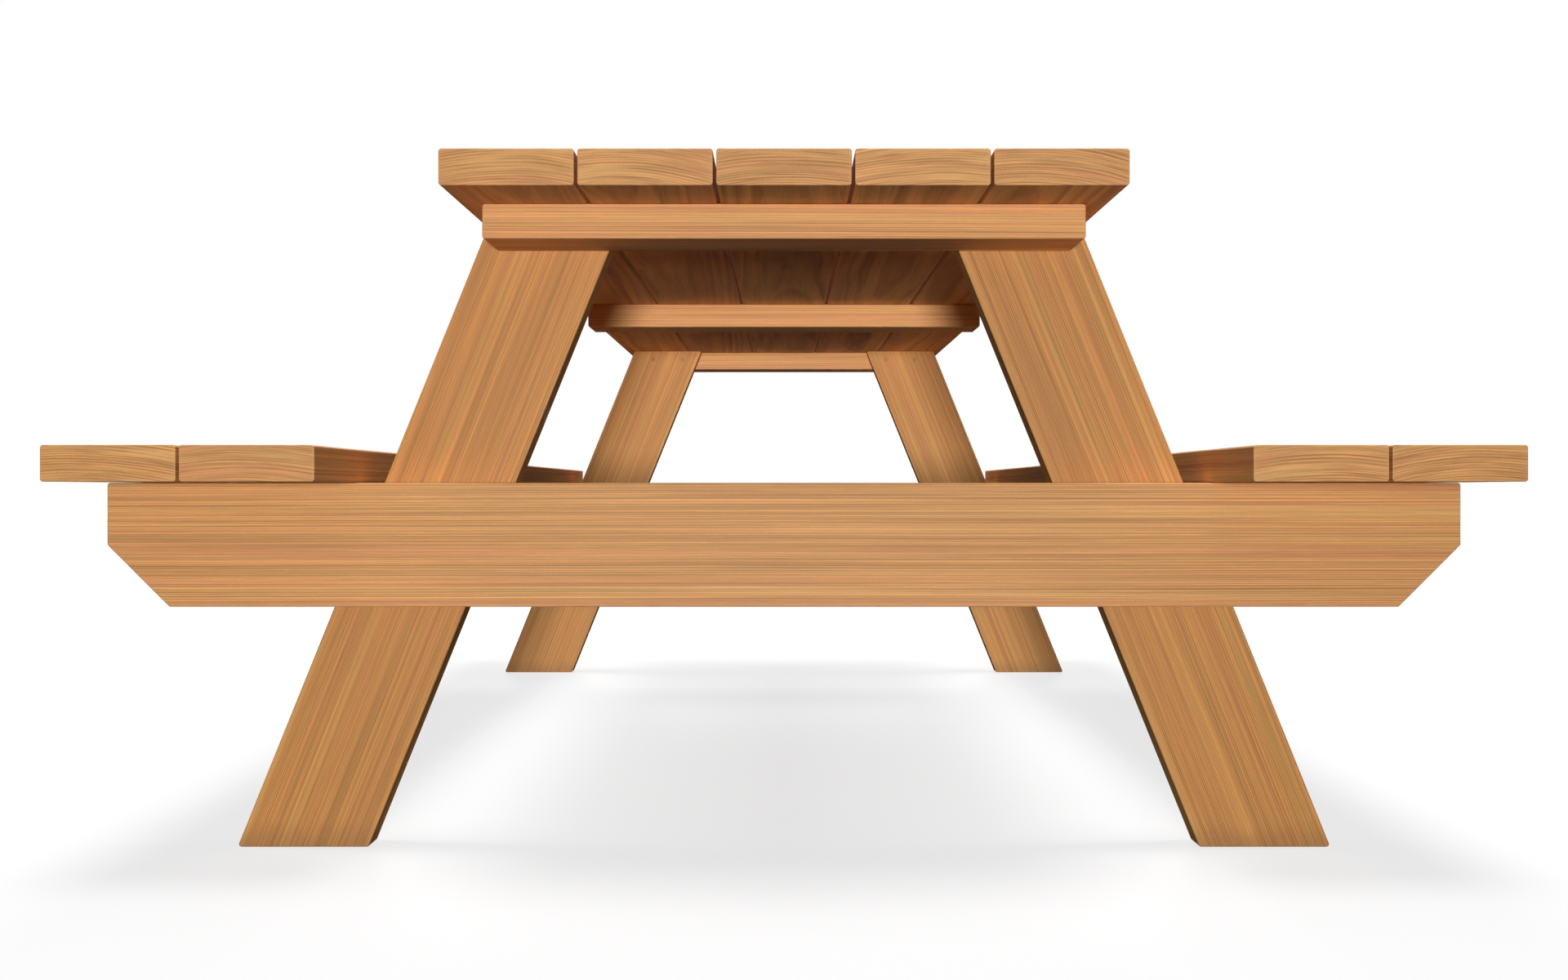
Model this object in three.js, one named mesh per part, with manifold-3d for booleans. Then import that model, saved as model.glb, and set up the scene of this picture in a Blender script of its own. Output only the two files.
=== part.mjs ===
// A timber picnic table with two attached bench seats.
//
// Frame: millimetres, +Z up, Y along the table, X across it from seat to seat.
// The origin is on the ground, at the middle of the table.
//
// Two A-shaped end frames carry everything. Each has a pair of leaning legs, a
// seat rail screwed flat across the outside of the legs, and a cleat laid flat
// under the table top against the outside of the legs. Five planks run along
// the top, and two along each seat. A third cleat ties the planks at mid-length.
import * as THREE from "three";
import { mergeVertices } from "three/addons/utils/BufferGeometryUtils.js";
import Module from "manifold-3d";

const INCH = 25.4;

// ---- Timber ----------------------------------------------------------------
const TABLE_LENGTH = 84 * INCH;
const TABLE_HEIGHT = 30 * INCH;
const SEAT_HEIGHT = 18 * INCH;
const TIMBER_THICKNESS = 1.5 * INCH;
const PLANK_WIDTH = 5.5 * INCH;
const PLANK_GAP = INCH / 8;
const TOP_PLANK_COUNT = 5;
const SEAT_PLANKS = ["inner", "outer"]; // from the legs outwards
const LEG_WIDTH = 5.5 * INCH;
const RAIL_WIDTH = 5.5 * INCH;
const CLEAT_WIDTH = 3.5 * INCH;

// ---- Layout ----------------------------------------------------------------
const LEG_LEAN = THREE.MathUtils.degToRad(22);
const CLEAT_SETBACK = 4 * INCH; // plank end to the cleat's outer edge
const CLEAT_INSET = 1 * INCH; // outer plank's edge to the cleat's end
const LEG_TOP_OVERHANG = 0.25 * INCH; // cleat's end to the leg's top corner
const SEAT_TO_LEG = 22.9; // leg's outer edge to the seat, at the rail's top
const RAIL_INSET = INCH / 8; // seat's outer edge to the rail's end
const RAIL_CLIP = 2.75 * INCH; // leg of the 45 degree cut under each rail end

// ---- Edges and fits --------------------------------------------------------
const PLANK_EDGE_RADIUS = INCH / 8;
const CORNER_RADIUS = INCH / 8; // corners of the frame timbers' outlines
const FRAME_EASE = INCH / 16; // chamfer along the frame timbers' edges
const END_EASE = 1; // chamfer round each plank's ends
const FIT_GAP = 0.3; // clearance between any two neighbouring pieces

// ---- Fasteners -------------------------------------------------------------
const SCREW = { shank: 2.4, head: 4.7, rim: 0.6, cone: 3.6, tip: 7, square: 2.9, socketDepth: 2 };
const SEAT_SCREW_LENGTH = 3 * INCH;
const LEG_SCREW_LENGTH = 3 * INCH;
const TIP_COVER = 0.5 * INCH; // timber beyond the tip of a screw through two timbers
const SCREW_SINK = 0.5; // head below the timber's face
const SCREW_EDGE = 1.5 * INCH; // screw to the plank's edge
const LEG_SCREW_EDGE = 1.4 * INCH; // screw to the leg's edge and the cleat's end
const LAG = { shank: 4.7, tip: 9, acrossFlats: 14.3, headHeight: 6.4 };
const LAG_RISE = 1.25 * INCH; // lag screws above and below the rail's middle
const LAG_STAGGER = 1 * INCH; // lag screws either side of the leg's middle
const WASHER = { outer: 12.5, thickness: 1.8 };

// ---- Facets and cuts -------------------------------------------------------
const ARC_STEPS = 2;
const SCREW_SIDES = 8;
const WASHER_SIDES = 12;
const OVERRUN = 1; // how far a cutter or a joined piece runs past a face
const MERGE_DISTANCE = 1e-4;

// ---- Derived places --------------------------------------------------------
const PLANK_PITCH = PLANK_WIDTH + PLANK_GAP;
const topHalfWidth = (TOP_PLANK_COUNT * PLANK_PITCH - PLANK_GAP) / 2;
const seatWidth = SEAT_PLANKS.length * PLANK_PITCH - PLANK_GAP;
const topUnderside = TABLE_HEIGHT - TIMBER_THICKNESS;
const seatUnderside = SEAT_HEIGHT - TIMBER_THICKNESS;
const cleatCentre = topUnderside - FIT_GAP - TIMBER_THICKNESS / 2;
const railTop = seatUnderside - FIT_GAP;
const railMiddle = railTop - RAIL_WIDTH / 2;
const cleatHalfLength = topHalfWidth - CLEAT_INSET;
const legTop = topUnderside - FIT_GAP;
const legTopReach = cleatHalfLength + LEG_TOP_OVERHANG;
const legSlice = LEG_WIDTH / Math.cos(LEG_LEAN); // the leg's width measured level
const seatInner = legReach(railTop) + SEAT_TO_LEG;
const railHalfLength = seatInner + seatWidth - RAIL_INSET;

// Distances along Y from the table's middle to an end frame's faces.
const cleatOuterFace = TABLE_LENGTH / 2 - CLEAT_SETBACK;
const cleatInnerFace = cleatOuterFace - CLEAT_WIDTH;
const legOuterFace = cleatInnerFace - FIT_GAP;
const legInnerFace = legOuterFace - TIMBER_THICKNESS;
const railInnerFace = legOuterFace + FIT_GAP;
const cleatMiddle = cleatInnerFace + CLEAT_WIDTH / 2;
const railCentre = railInnerFace + TIMBER_THICKNESS / 2;

// Screws that pass through one timber and end inside the next.
const topScrewLength = 2 * TIMBER_THICKNESS - TIP_COVER;
const lagLength = 2 * TIMBER_THICKNESS - TIP_COVER;
const lagReach = lagLength - WASHER.thickness - TIMBER_THICKNESS - 3 * FIT_GAP; // into the rail

/** Distance from the table's middle to a leg's outer edge at height z. */
function legReach(z) {
  return legTopReach + (legTop - z) * Math.tan(LEG_LEAN);
}

const wasm = await Module();
wasm.setup();

const WOOD = { roughness: 0.62, metalness: 0 };
const lightWood = new THREE.MeshStandardMaterial({ color: 0xcb9662, ...WOOD });
const legWood = new THREE.MeshStandardMaterial({ color: 0xb8824e, ...WOOD });
const zinc = new THREE.MeshStandardMaterial({ color: 0xa9aaa4, roughness: 0.42, metalness: 0.85 });
const coated = new THREE.MeshStandardMaterial({ color: 0x8f8672, roughness: 0.5, metalness: 0.7 });

/** A closed three.js geometry as a manifold-3d solid. */
function solidOf(geometry) {
  const bare = geometry.clone();
  bare.deleteAttribute("normal");
  bare.deleteAttribute("uv");
  const merged = mergeVertices(bare, MERGE_DISTANCE);
  return new wasm.Manifold(
    new wasm.Mesh({
      numProp: 3,
      vertProperties: merged.attributes.position.array,
      triVerts: new Uint32Array(merged.index.array),
    }),
  );
}

/** A manifold-3d solid as a three.js geometry. */
function geometryOf(solid) {
  const mesh = solid.getMesh();
  const geometry = new THREE.BufferGeometry();
  geometry.setAttribute("position", new THREE.BufferAttribute(mesh.vertProperties, 3));
  geometry.setIndex(new THREE.BufferAttribute(mesh.triVerts, 1));
  const flat = geometry.toNonIndexed();
  flat.computeVertexNormals();
  return flat;
}

/** A geometry with other closed geometries cut out of it. */
function cutFrom(geometry, cutters) {
  return geometryOf(cutters.reduce((left, cutter) => left.subtract(solidOf(cutter)), solidOf(geometry)));
}

/** A closed convex outline, counter-clockwise, with each corner rounded to a radius. */
function roundedOutline(corners, radius) {
  const shape = new THREE.Shape();
  corners.forEach((corner, i) => {
    const before = corners.at(i - 1);
    const after = corners[(i + 1) % corners.length];
    const back = before.clone().sub(corner).normalize();
    const ahead = after.clone().sub(corner).normalize();
    const half = back.angleTo(ahead) / 2;
    const bisector = back.clone().add(ahead).normalize();
    const centre = corner.clone().addScaledVector(bisector, radius / Math.sin(half));
    const start = corner.clone().addScaledVector(back, radius / Math.tan(half)).sub(centre);
    const end = corner.clone().addScaledVector(ahead, radius / Math.tan(half)).sub(centre);
    shape.absarc(centre.x, centre.y, radius, start.angle(), end.angle(), false);
  });
  shape.closePath();
  return shape;
}

/** An outline pushed along Z, with both of its rims chamfered and its middle plane at z = 0. */
function board(shape, depth, ease) {
  const geometry = new THREE.ExtrudeGeometry(shape, {
    depth: depth - 2 * ease,
    curveSegments: ARC_STEPS,
    bevelThickness: ease,
    bevelSize: ease,
    bevelOffset: -ease,
    bevelSegments: 1,
  });
  return geometry.translate(0, 0, ease - depth / 2);
}

/** The four corners of a rectangle centred on the origin. */
function rectangle(width, height) {
  return [
    new THREE.Vector2(-width / 2, -height / 2),
    new THREE.Vector2(width / 2, -height / 2),
    new THREE.Vector2(width / 2, height / 2),
    new THREE.Vector2(-width / 2, height / 2),
  ];
}

/** A plank lying along Y, centred on the origin. */
function plank(length) {
  const section = roundedOutline(rectangle(PLANK_WIDTH, TIMBER_THICKNESS), PLANK_EDGE_RADIUS);
  return board(section, length, END_EASE).rotateX(Math.PI / 2);
}

/** A frame timber with its outline in the XZ plane, as deep as given along Y about y = 0. */
function frameTimber(corners, depth) {
  return board(roundedOutline(corners, CORNER_RADIUS), depth, FRAME_EASE).rotateX(Math.PI / 2);
}

/** A solid turned about Z, from pairs of radius and height that start and end on the axis. */
function turned(profile, sides = SCREW_SIDES) {
  const points = profile.map(([radius, height]) => new THREE.Vector2(radius, height));
  return new THREE.LatheGeometry(points, sides).rotateX(Math.PI / 2);
}

/** The hole for a countersunk screw, opening at z = 0 with the screw below it. */
function screwHole(length) {
  const shank = SCREW.shank + FIT_GAP;
  const head = SCREW.head + FIT_GAP;
  const rim = -SCREW_SINK - SCREW.rim - FIT_GAP;
  const bottom = -SCREW_SINK - length - FIT_GAP;
  return turned([
    [0, bottom],
    [shank, bottom],
    [shank, rim - SCREW.cone + SCREW.rim],
    [head, rim],
    [head, OVERRUN],
    [0, OVERRUN],
  ]);
}

/** A countersunk screw with a square socket, its head's face at z = 0 and its tip below. */
function screw(length) {
  const turnedScrew = turned([
    [0, -length],
    [SCREW.shank, SCREW.tip - length],
    [SCREW.shank, -SCREW.cone],
    [SCREW.head, -SCREW.rim],
    [SCREW.head, 0],
    [0, 0],
  ]);
  const socket = new THREE.BoxGeometry(SCREW.square, SCREW.square, 2 * SCREW.socketDepth);
  return cutFrom(turnedScrew, [socket]);
}

/** A hexagon-headed lag screw, the underside of its head at z = 0 and its tip below. */
function lagScrew() {
  const hexRadius = LAG.acrossFlats / Math.sqrt(3);
  const head = new THREE.CylinderGeometry(hexRadius, hexRadius, LAG.headHeight, 6);
  head.rotateX(Math.PI / 2).translate(0, 0, LAG.headHeight / 2);
  const shank = turned([
    [0, -lagLength],
    [LAG.shank, LAG.tip - lagLength],
    [LAG.shank, OVERRUN],
    [0, OVERRUN],
  ]);
  return geometryOf(solidOf(head).add(solidOf(shank)));
}

/** A flat washer with its lower face at z = 0. */
function washer() {
  const bore = LAG.shank + FIT_GAP;
  const section = [
    [bore, 0],
    [WASHER.outer, 0],
    [WASHER.outer, WASHER.thickness],
    [bore, WASHER.thickness],
    [bore, 0],
  ];
  return turned(section, WASHER_SIDES);
}

/** The clearance hole for a lag screw, running down from z = top to z = bottom. */
function lagHole(top, bottom) {
  const radius = LAG.shank + FIT_GAP;
  return turned([
    [0, bottom],
    [radius, bottom],
    [radius, top],
    [0, top],
  ]);
}

/** A named mesh at a place. */
function piece(name, geometry, material, x, y, z) {
  const mesh = new THREE.Mesh(geometry, material);
  mesh.name = name;
  mesh.position.set(x, y, z);
  return mesh;
}

/** The X places of a run of planks whose first edge is at start. */
function plankCentres(count, start) {
  return Array.from({ length: count }, (_, i) => start + PLANK_WIDTH / 2 + i * PLANK_PITCH);
}

/** The X places of the two screws across a plank. */
function screwPair(centre) {
  const offset = PLANK_WIDTH / 2 - SCREW_EDGE;
  return [centre - offset, centre + offset];
}

const topCentres = plankCentres(TOP_PLANK_COUNT, -topHalfWidth);
const seatCentres = plankCentres(SEAT_PLANKS.length, seatInner);
const topScrewPlaces = topCentres.flatMap(screwPair);
const seatScrewPlaces = seatCentres.flatMap(screwPair);

/** The planks of the top, with countersunk screw holes over the three cleats. */
function tableTop() {
  const group = new THREE.Group();
  const holes = [-cleatMiddle, 0, cleatMiddle].flatMap((y) =>
    screwPair(0).map((x) => screwHole(topScrewLength).translate(x, y, TIMBER_THICKNESS / 2)),
  );
  const geometry = cutFrom(plank(TABLE_LENGTH), holes);
  const z = TABLE_HEIGHT - TIMBER_THICKNESS / 2;
  topCentres.forEach((x, i) => group.add(piece(`top_plank_${i + 1}`, geometry, lightWood, x, 0, z)));
  return group;
}

/** Both seats: planks with holes over the two rails. */
function seats() {
  const group = new THREE.Group();
  const holes = [-railCentre, railCentre].flatMap((y) =>
    screwPair(0).map((x) => screwHole(SEAT_SCREW_LENGTH).translate(x, y, TIMBER_THICKNESS / 2)),
  );
  const geometry = cutFrom(plank(TABLE_LENGTH), holes);
  const z = SEAT_HEIGHT - TIMBER_THICKNESS / 2;
  for (const [side, sign] of [["left", -1], ["right", 1]]) {
    seatCentres.forEach((x, i) => {
      group.add(piece(`seat_plank_${side}_${SEAT_PLANKS[i]}`, geometry, lightWood, sign * x, 0, z));
    });
  }
  return group;
}

/** A cleat lying flat along X, with the holes of the plank screws and of its own side screws. */
function cleat(sideHoles) {
  const timber = frameTimber(rectangle(2 * cleatHalfLength, TIMBER_THICKNESS), CLEAT_WIDTH);
  const faceAbove = TABLE_HEIGHT - cleatCentre;
  const downHoles = topScrewPlaces.map((x) => screwHole(topScrewLength).translate(x, 0, faceAbove));
  return cutFrom(timber, [...downHoles, ...sideHoles]);
}

/** The four outline corners of a leg on the side given by sign, counter-clockwise. */
function legCorners(sign) {
  const foot = legReach(0);
  const corners = [
    new THREE.Vector2(foot - legSlice, 0),
    new THREE.Vector2(foot, 0),
    new THREE.Vector2(legTopReach, legTop),
    new THREE.Vector2(legTopReach - legSlice, legTop),
  ];
  return sign > 0 ? corners : corners.map((c) => new THREE.Vector2(-c.x, c.y)).reverse();
}

/** The X and Z places of the two lag screws through a leg on the side given by sign. */
function lagPlaces(sign) {
  return [["upper", 1], ["lower", -1]].map(([label, up]) => {
    const z = railMiddle + up * LAG_RISE;
    const x = legReach(z) - legSlice / 2 + up * LAG_STAGGER;
    return { label, x: sign * x, z };
  });
}

/** The X and Z places of the two screws through a leg's head into the cleat. */
function legScrewPlaces(sign) {
  const z = cleatCentre;
  const inner = legReach(z) - legSlice + LEG_SCREW_EDGE;
  const outer = Math.min(legReach(z), cleatHalfLength) - LEG_SCREW_EDGE;
  return [{ label: "inner", x: sign * inner, z }, { label: "outer", x: sign * outer, z }];
}

/** The place along an end frame's own Y of a face at a distance from the table's middle. */
function placeOf(face) {
  return -face;
}

/** A geometry made along Z, turned so that its +Z points along +Y. */
function facingInwards(geometry) {
  return geometry.rotateX(-Math.PI / 2);
}

/** One leg with its clearance holes, in the end frame's XZ plane and centred on y = 0. */
function leg(sign) {
  const inner = TIMBER_THICKNESS / 2;
  const lagHoles = lagPlaces(sign).map(({ x, z }) =>
    facingInwards(lagHole(inner + OVERRUN, -inner - OVERRUN)).translate(x, 0, z),
  );
  const screwHoles = legScrewPlaces(sign).map(({ x, z }) =>
    facingInwards(screwHole(LEG_SCREW_LENGTH)).translate(x, inner, z),
  );
  return cutFrom(frameTimber(legCorners(sign), TIMBER_THICKNESS), [...lagHoles, ...screwHoles]);
}

/** The seat rail, with clipped lower corners, blind lag holes and the seat screws' holes. */
function seatRail() {
  const bottom = railTop - RAIL_WIDTH;
  const corners = [
    new THREE.Vector2(RAIL_CLIP - railHalfLength, bottom),
    new THREE.Vector2(railHalfLength - RAIL_CLIP, bottom),
    new THREE.Vector2(railHalfLength, bottom + RAIL_CLIP),
    new THREE.Vector2(railHalfLength, railTop),
    new THREE.Vector2(-railHalfLength, railTop),
    new THREE.Vector2(-railHalfLength, bottom + RAIL_CLIP),
  ];
  const inner = TIMBER_THICKNESS / 2;
  const lagEnd = inner - lagReach - FIT_GAP;
  const lagHoles = [-1, 1].flatMap(lagPlaces).map(({ x, z }) =>
    facingInwards(lagHole(inner + OVERRUN, lagEnd)).translate(x, 0, z),
  );
  const screwHoles = [-1, 1].flatMap((sign) =>
    seatScrewPlaces.map((x) => screwHole(SEAT_SCREW_LENGTH).translate(sign * x, 0, SEAT_HEIGHT)),
  );
  return cutFrom(frameTimber(corners, TIMBER_THICKNESS), [...lagHoles, ...screwHoles]);
}

/** The two lag screws and washers of one leg, against its inner face in the end frame. */
function lagScrews(corner, sign) {
  const group = new THREE.Group();
  const washerFace = placeOf(legInnerFace) + FIT_GAP;
  const headFace = washerFace + WASHER.thickness + FIT_GAP;
  for (const { label, x, z } of lagPlaces(sign)) {
    group.add(
      piece(`washer_${corner}_${label}`, facingInwards(washer()), zinc, x, washerFace, z),
      piece(`lag_screw_${corner}_${label}`, facingInwards(lagScrew()), zinc, x, headFace, z),
    );
  }
  return group;
}

/** The countersunk screws of one corner: two from the leg into the cleat, and the seat's. */
function cornerScrews(corner, sign) {
  const group = new THREE.Group();
  const legFace = placeOf(legInnerFace) - SCREW_SINK;
  for (const { label, x, z } of legScrewPlaces(sign)) {
    const geometry = facingInwards(screw(LEG_SCREW_LENGTH));
    group.add(piece(`leg_screw_${corner}_${label}`, geometry, coated, x, legFace, z));
  }
  const railPlace = placeOf(railCentre);
  const seatFace = SEAT_HEIGHT - SCREW_SINK;
  seatScrewPlaces.forEach((x, i) => {
    const geometry = screw(SEAT_SCREW_LENGTH);
    group.add(piece(`seat_screw_${corner}_${i + 1}`, geometry, coated, sign * x, railPlace, seatFace));
  });
  return group;
}

/** One A-shaped end frame. Its own +Y points to the table's middle. */
function endFrame(end, turn) {
  const group = new THREE.Group();
  const legCentre = placeOf((legOuterFace + legInnerFace) / 2);
  const sideHoles = [-1, 1].flatMap(legScrewPlaces).map(({ x }) =>
    facingInwards(screwHole(LEG_SCREW_LENGTH)).translate(x, cleatMiddle - legInnerFace, 0),
  );
  group.add(
    piece(`top_cleat_${end}`, cleat(sideHoles), lightWood, 0, placeOf(cleatMiddle), cleatCentre),
    piece(`seat_rail_${end}`, seatRail(), lightWood, 0, placeOf(railCentre), 0),
  );
  for (const sign of [-1, 1]) {
    const corner = `${end}_${sign * turn < 0 ? "left" : "right"}`;
    group.add(
      piece(`leg_${corner}`, leg(sign), legWood, 0, legCentre, 0),
      lagScrews(corner, sign),
      cornerScrews(corner, sign),
    );
  }
  return group;
}

const rearFrame = endFrame("rear", -1);
rearFrame.rotation.z = Math.PI;

const table = new THREE.Group();
table.add(
  tableTop(),
  seats(),
  endFrame("front", 1),
  rearFrame,
  piece("top_cleat_middle", cleat([]), lightWood, 0, 0, cleatCentre),
);

export default table;
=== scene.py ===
"""A timber picnic table with attached seats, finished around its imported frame.

Everything is in metres, with +Z up, the planks along Y and the front end at -Y.
Each board is swept from its outline by Geometry Nodes, eased along its edges,
and drilled where its own screws go. Each kind of screw is one tree, set out on
its places. The wood is a solid figure of growth rings around each board's own
pith, so faces, edges, ends and holes all agree.
"""

from __future__ import annotations

import logging
import math
import random
from dataclasses import dataclass, field
from enum import Enum
from typing import Any

import bmesh
import bpy
import numpy as np
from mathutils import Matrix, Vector


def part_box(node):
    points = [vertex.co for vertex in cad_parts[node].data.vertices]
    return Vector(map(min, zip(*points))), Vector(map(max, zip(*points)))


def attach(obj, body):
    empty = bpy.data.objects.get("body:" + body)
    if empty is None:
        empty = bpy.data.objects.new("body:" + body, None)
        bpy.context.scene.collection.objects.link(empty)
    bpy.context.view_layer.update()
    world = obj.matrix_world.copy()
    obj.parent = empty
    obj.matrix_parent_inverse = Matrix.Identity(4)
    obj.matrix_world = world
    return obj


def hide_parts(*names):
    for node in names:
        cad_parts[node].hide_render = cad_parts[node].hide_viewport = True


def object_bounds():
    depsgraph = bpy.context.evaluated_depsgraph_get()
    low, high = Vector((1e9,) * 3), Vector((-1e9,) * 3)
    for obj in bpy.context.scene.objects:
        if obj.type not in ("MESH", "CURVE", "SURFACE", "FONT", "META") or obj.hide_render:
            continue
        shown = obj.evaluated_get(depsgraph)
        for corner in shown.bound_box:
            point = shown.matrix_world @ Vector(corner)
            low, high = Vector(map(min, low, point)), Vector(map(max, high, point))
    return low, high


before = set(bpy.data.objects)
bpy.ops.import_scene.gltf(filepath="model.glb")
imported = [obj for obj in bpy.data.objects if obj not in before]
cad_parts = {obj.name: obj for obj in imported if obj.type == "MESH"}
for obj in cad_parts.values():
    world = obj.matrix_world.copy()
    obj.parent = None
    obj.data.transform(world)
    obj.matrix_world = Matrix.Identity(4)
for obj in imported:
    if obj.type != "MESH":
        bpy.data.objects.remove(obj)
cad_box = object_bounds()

LOG = logging.getLogger("picnic_table")
BODY = "root"
INCH = 0.0254
MM = 0.001
CUBIC_CENTIMETRE = 1e-6
CLEARANCE = 0.3 * MM
X_AXIS = Vector((1, 0, 0))
Y_AXIS = Vector((0, 1, 0))
Z_AXIS = Vector((0, 0, 1))
WHITE = (1.0, 1.0, 1.0, 1.0)

# Attributes that the boards and the fasteners' points carry.
GRAIN_PLACE = "grain_place"
EDGE_PLACE = "edge_place"
EDGE_HALF = "edge_half"
BOARD_TONE = "board_tone"
END_GRAIN = "end_grain"
FACING = "facing"

# Points closer than this are one: where two tubes share a rim, and where a cut leaves slivers.
SEAM_WELD = 1e-6
SLIVER_WELD = 5e-6

# Small shapes of the drills and the fasteners.
DRILL_TIP = 0.5 * MM
STAR_ROUNDING = 0.25 * MM
WASHER_ROUNDING = 0.35 * MM
CHAMFER_OVERRUN = 0.1 * MM
ROUNDING_STEPS = 3
ROUND_SIDES = 48
SCREW_SIDES = 32

# Thread steps are those in one turn, and a thread starts at a share of the tip's
# length above the point. A star's waist is a share of its radius. The cone that
# chamfers a hexagon head goes by the head's flats at its top, and by its corners
# at its bottom.
THREAD_STEPS = 14
THREAD_SIDES = 4
THREAD_START = 0.9
STAR_POINTS = 6
STAR_WAIST = 0.68
CHAMFER_TOP = 0.46
CHAMFER_BOTTOM = 2.2

# The sizes that any turned pin has.
PIN_SIZES = {
    "Head Radius": 4.7 * MM,
    "Rim": 0.6 * MM,
    "Cone": 3.0 * MM,
    "Shank Radius": 2.4 * MM,
    "Length": 60.0 * MM,
    "Tip": 7.0 * MM,
}

# How fast the planks' faces wander, across, along and through them.
WANDER_SCALES = (9.0, 2.2, 9.0)

# The wood's noises. Layers are scaled along the board, round its rings and through
# them. Grains are scaled along and across the board, and have a detail of their own.
LAYERS = {"Line": (1.4, 16.0, 760.0), "Streak": (1.8, 14.0, 290.0), "Band": (0.45, 4.0, 46.0)}
GRAINS = {
    "Drift": (0.9, 4.0, 2.0),
    "Pore": (3.4, 300.0, 3.0),
    "Fibre": (26.0, 1300.0, 2.0),
    "Fleck": (190.0, 620.0, 1.0),
}

# What shades the wood: the range that each value is read over, and the shade at
# either end of it.
SHADES = {
    "Streak": (0.30, 0.70, 0.86, 1.12),
    "Line": (0.45, 0.75, 1.0, 1.10),
    "Pore": (0.30, 0.70, 0.93, 1.07),
    "Fibre": (0.25, 0.75, 0.93, 1.07),
    "Fleck": (0.60, 0.74, 1.0, 1.07),
    "Drift": (0.30, 0.70, 0.95, 1.05),
    BOARD_TONE: (0.0, 1.0, 0.97, 1.03),
    END_GRAIN: (0.0, 1.0, 1.0, 0.96),
}

Colour = tuple[float, float, float, float]
Sockets = dict[str, tuple[str, Any]]


class Finish(Enum):
    """The record's material slots."""

    PLANK = "plank_wood"
    RAIL = "rail_wood"
    LEG = "leg_wood"
    ZINC = "zinc_steel"
    COATED = "coated_steel"


class Sawing(Enum):
    """How a board was cut from the log."""

    FLAT = "flat"
    QUARTER = "quarter"


class Side(Enum):
    """The table's two sides, each with its way along X."""

    LEFT = -1
    RIGHT = 1


class End(Enum):
    """The table's two ends, each with the way along Y from it to the table's middle."""

    FRONT = 1
    REAR = -1


Finishes = dict[Finish, bpy.types.Material]


def linear(code: str) -> Colour:
    """A display colour as scene-linear values.

    Args:
        code: Six hexadecimal digits, red first.

    Returns:
        Red, green, blue and an alpha of one.
    """
    shares = [int(code[i : i + 2], 16) / 255 for i in (0, 2, 4)]
    red, green, blue = (s / 12.92 if s <= 0.04045 else ((s + 0.055) / 1.055) ** 2.4 for s in shares)
    return red, green, blue, 1.0


# ---- Node trees ---------------------------------------------------------------


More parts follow.
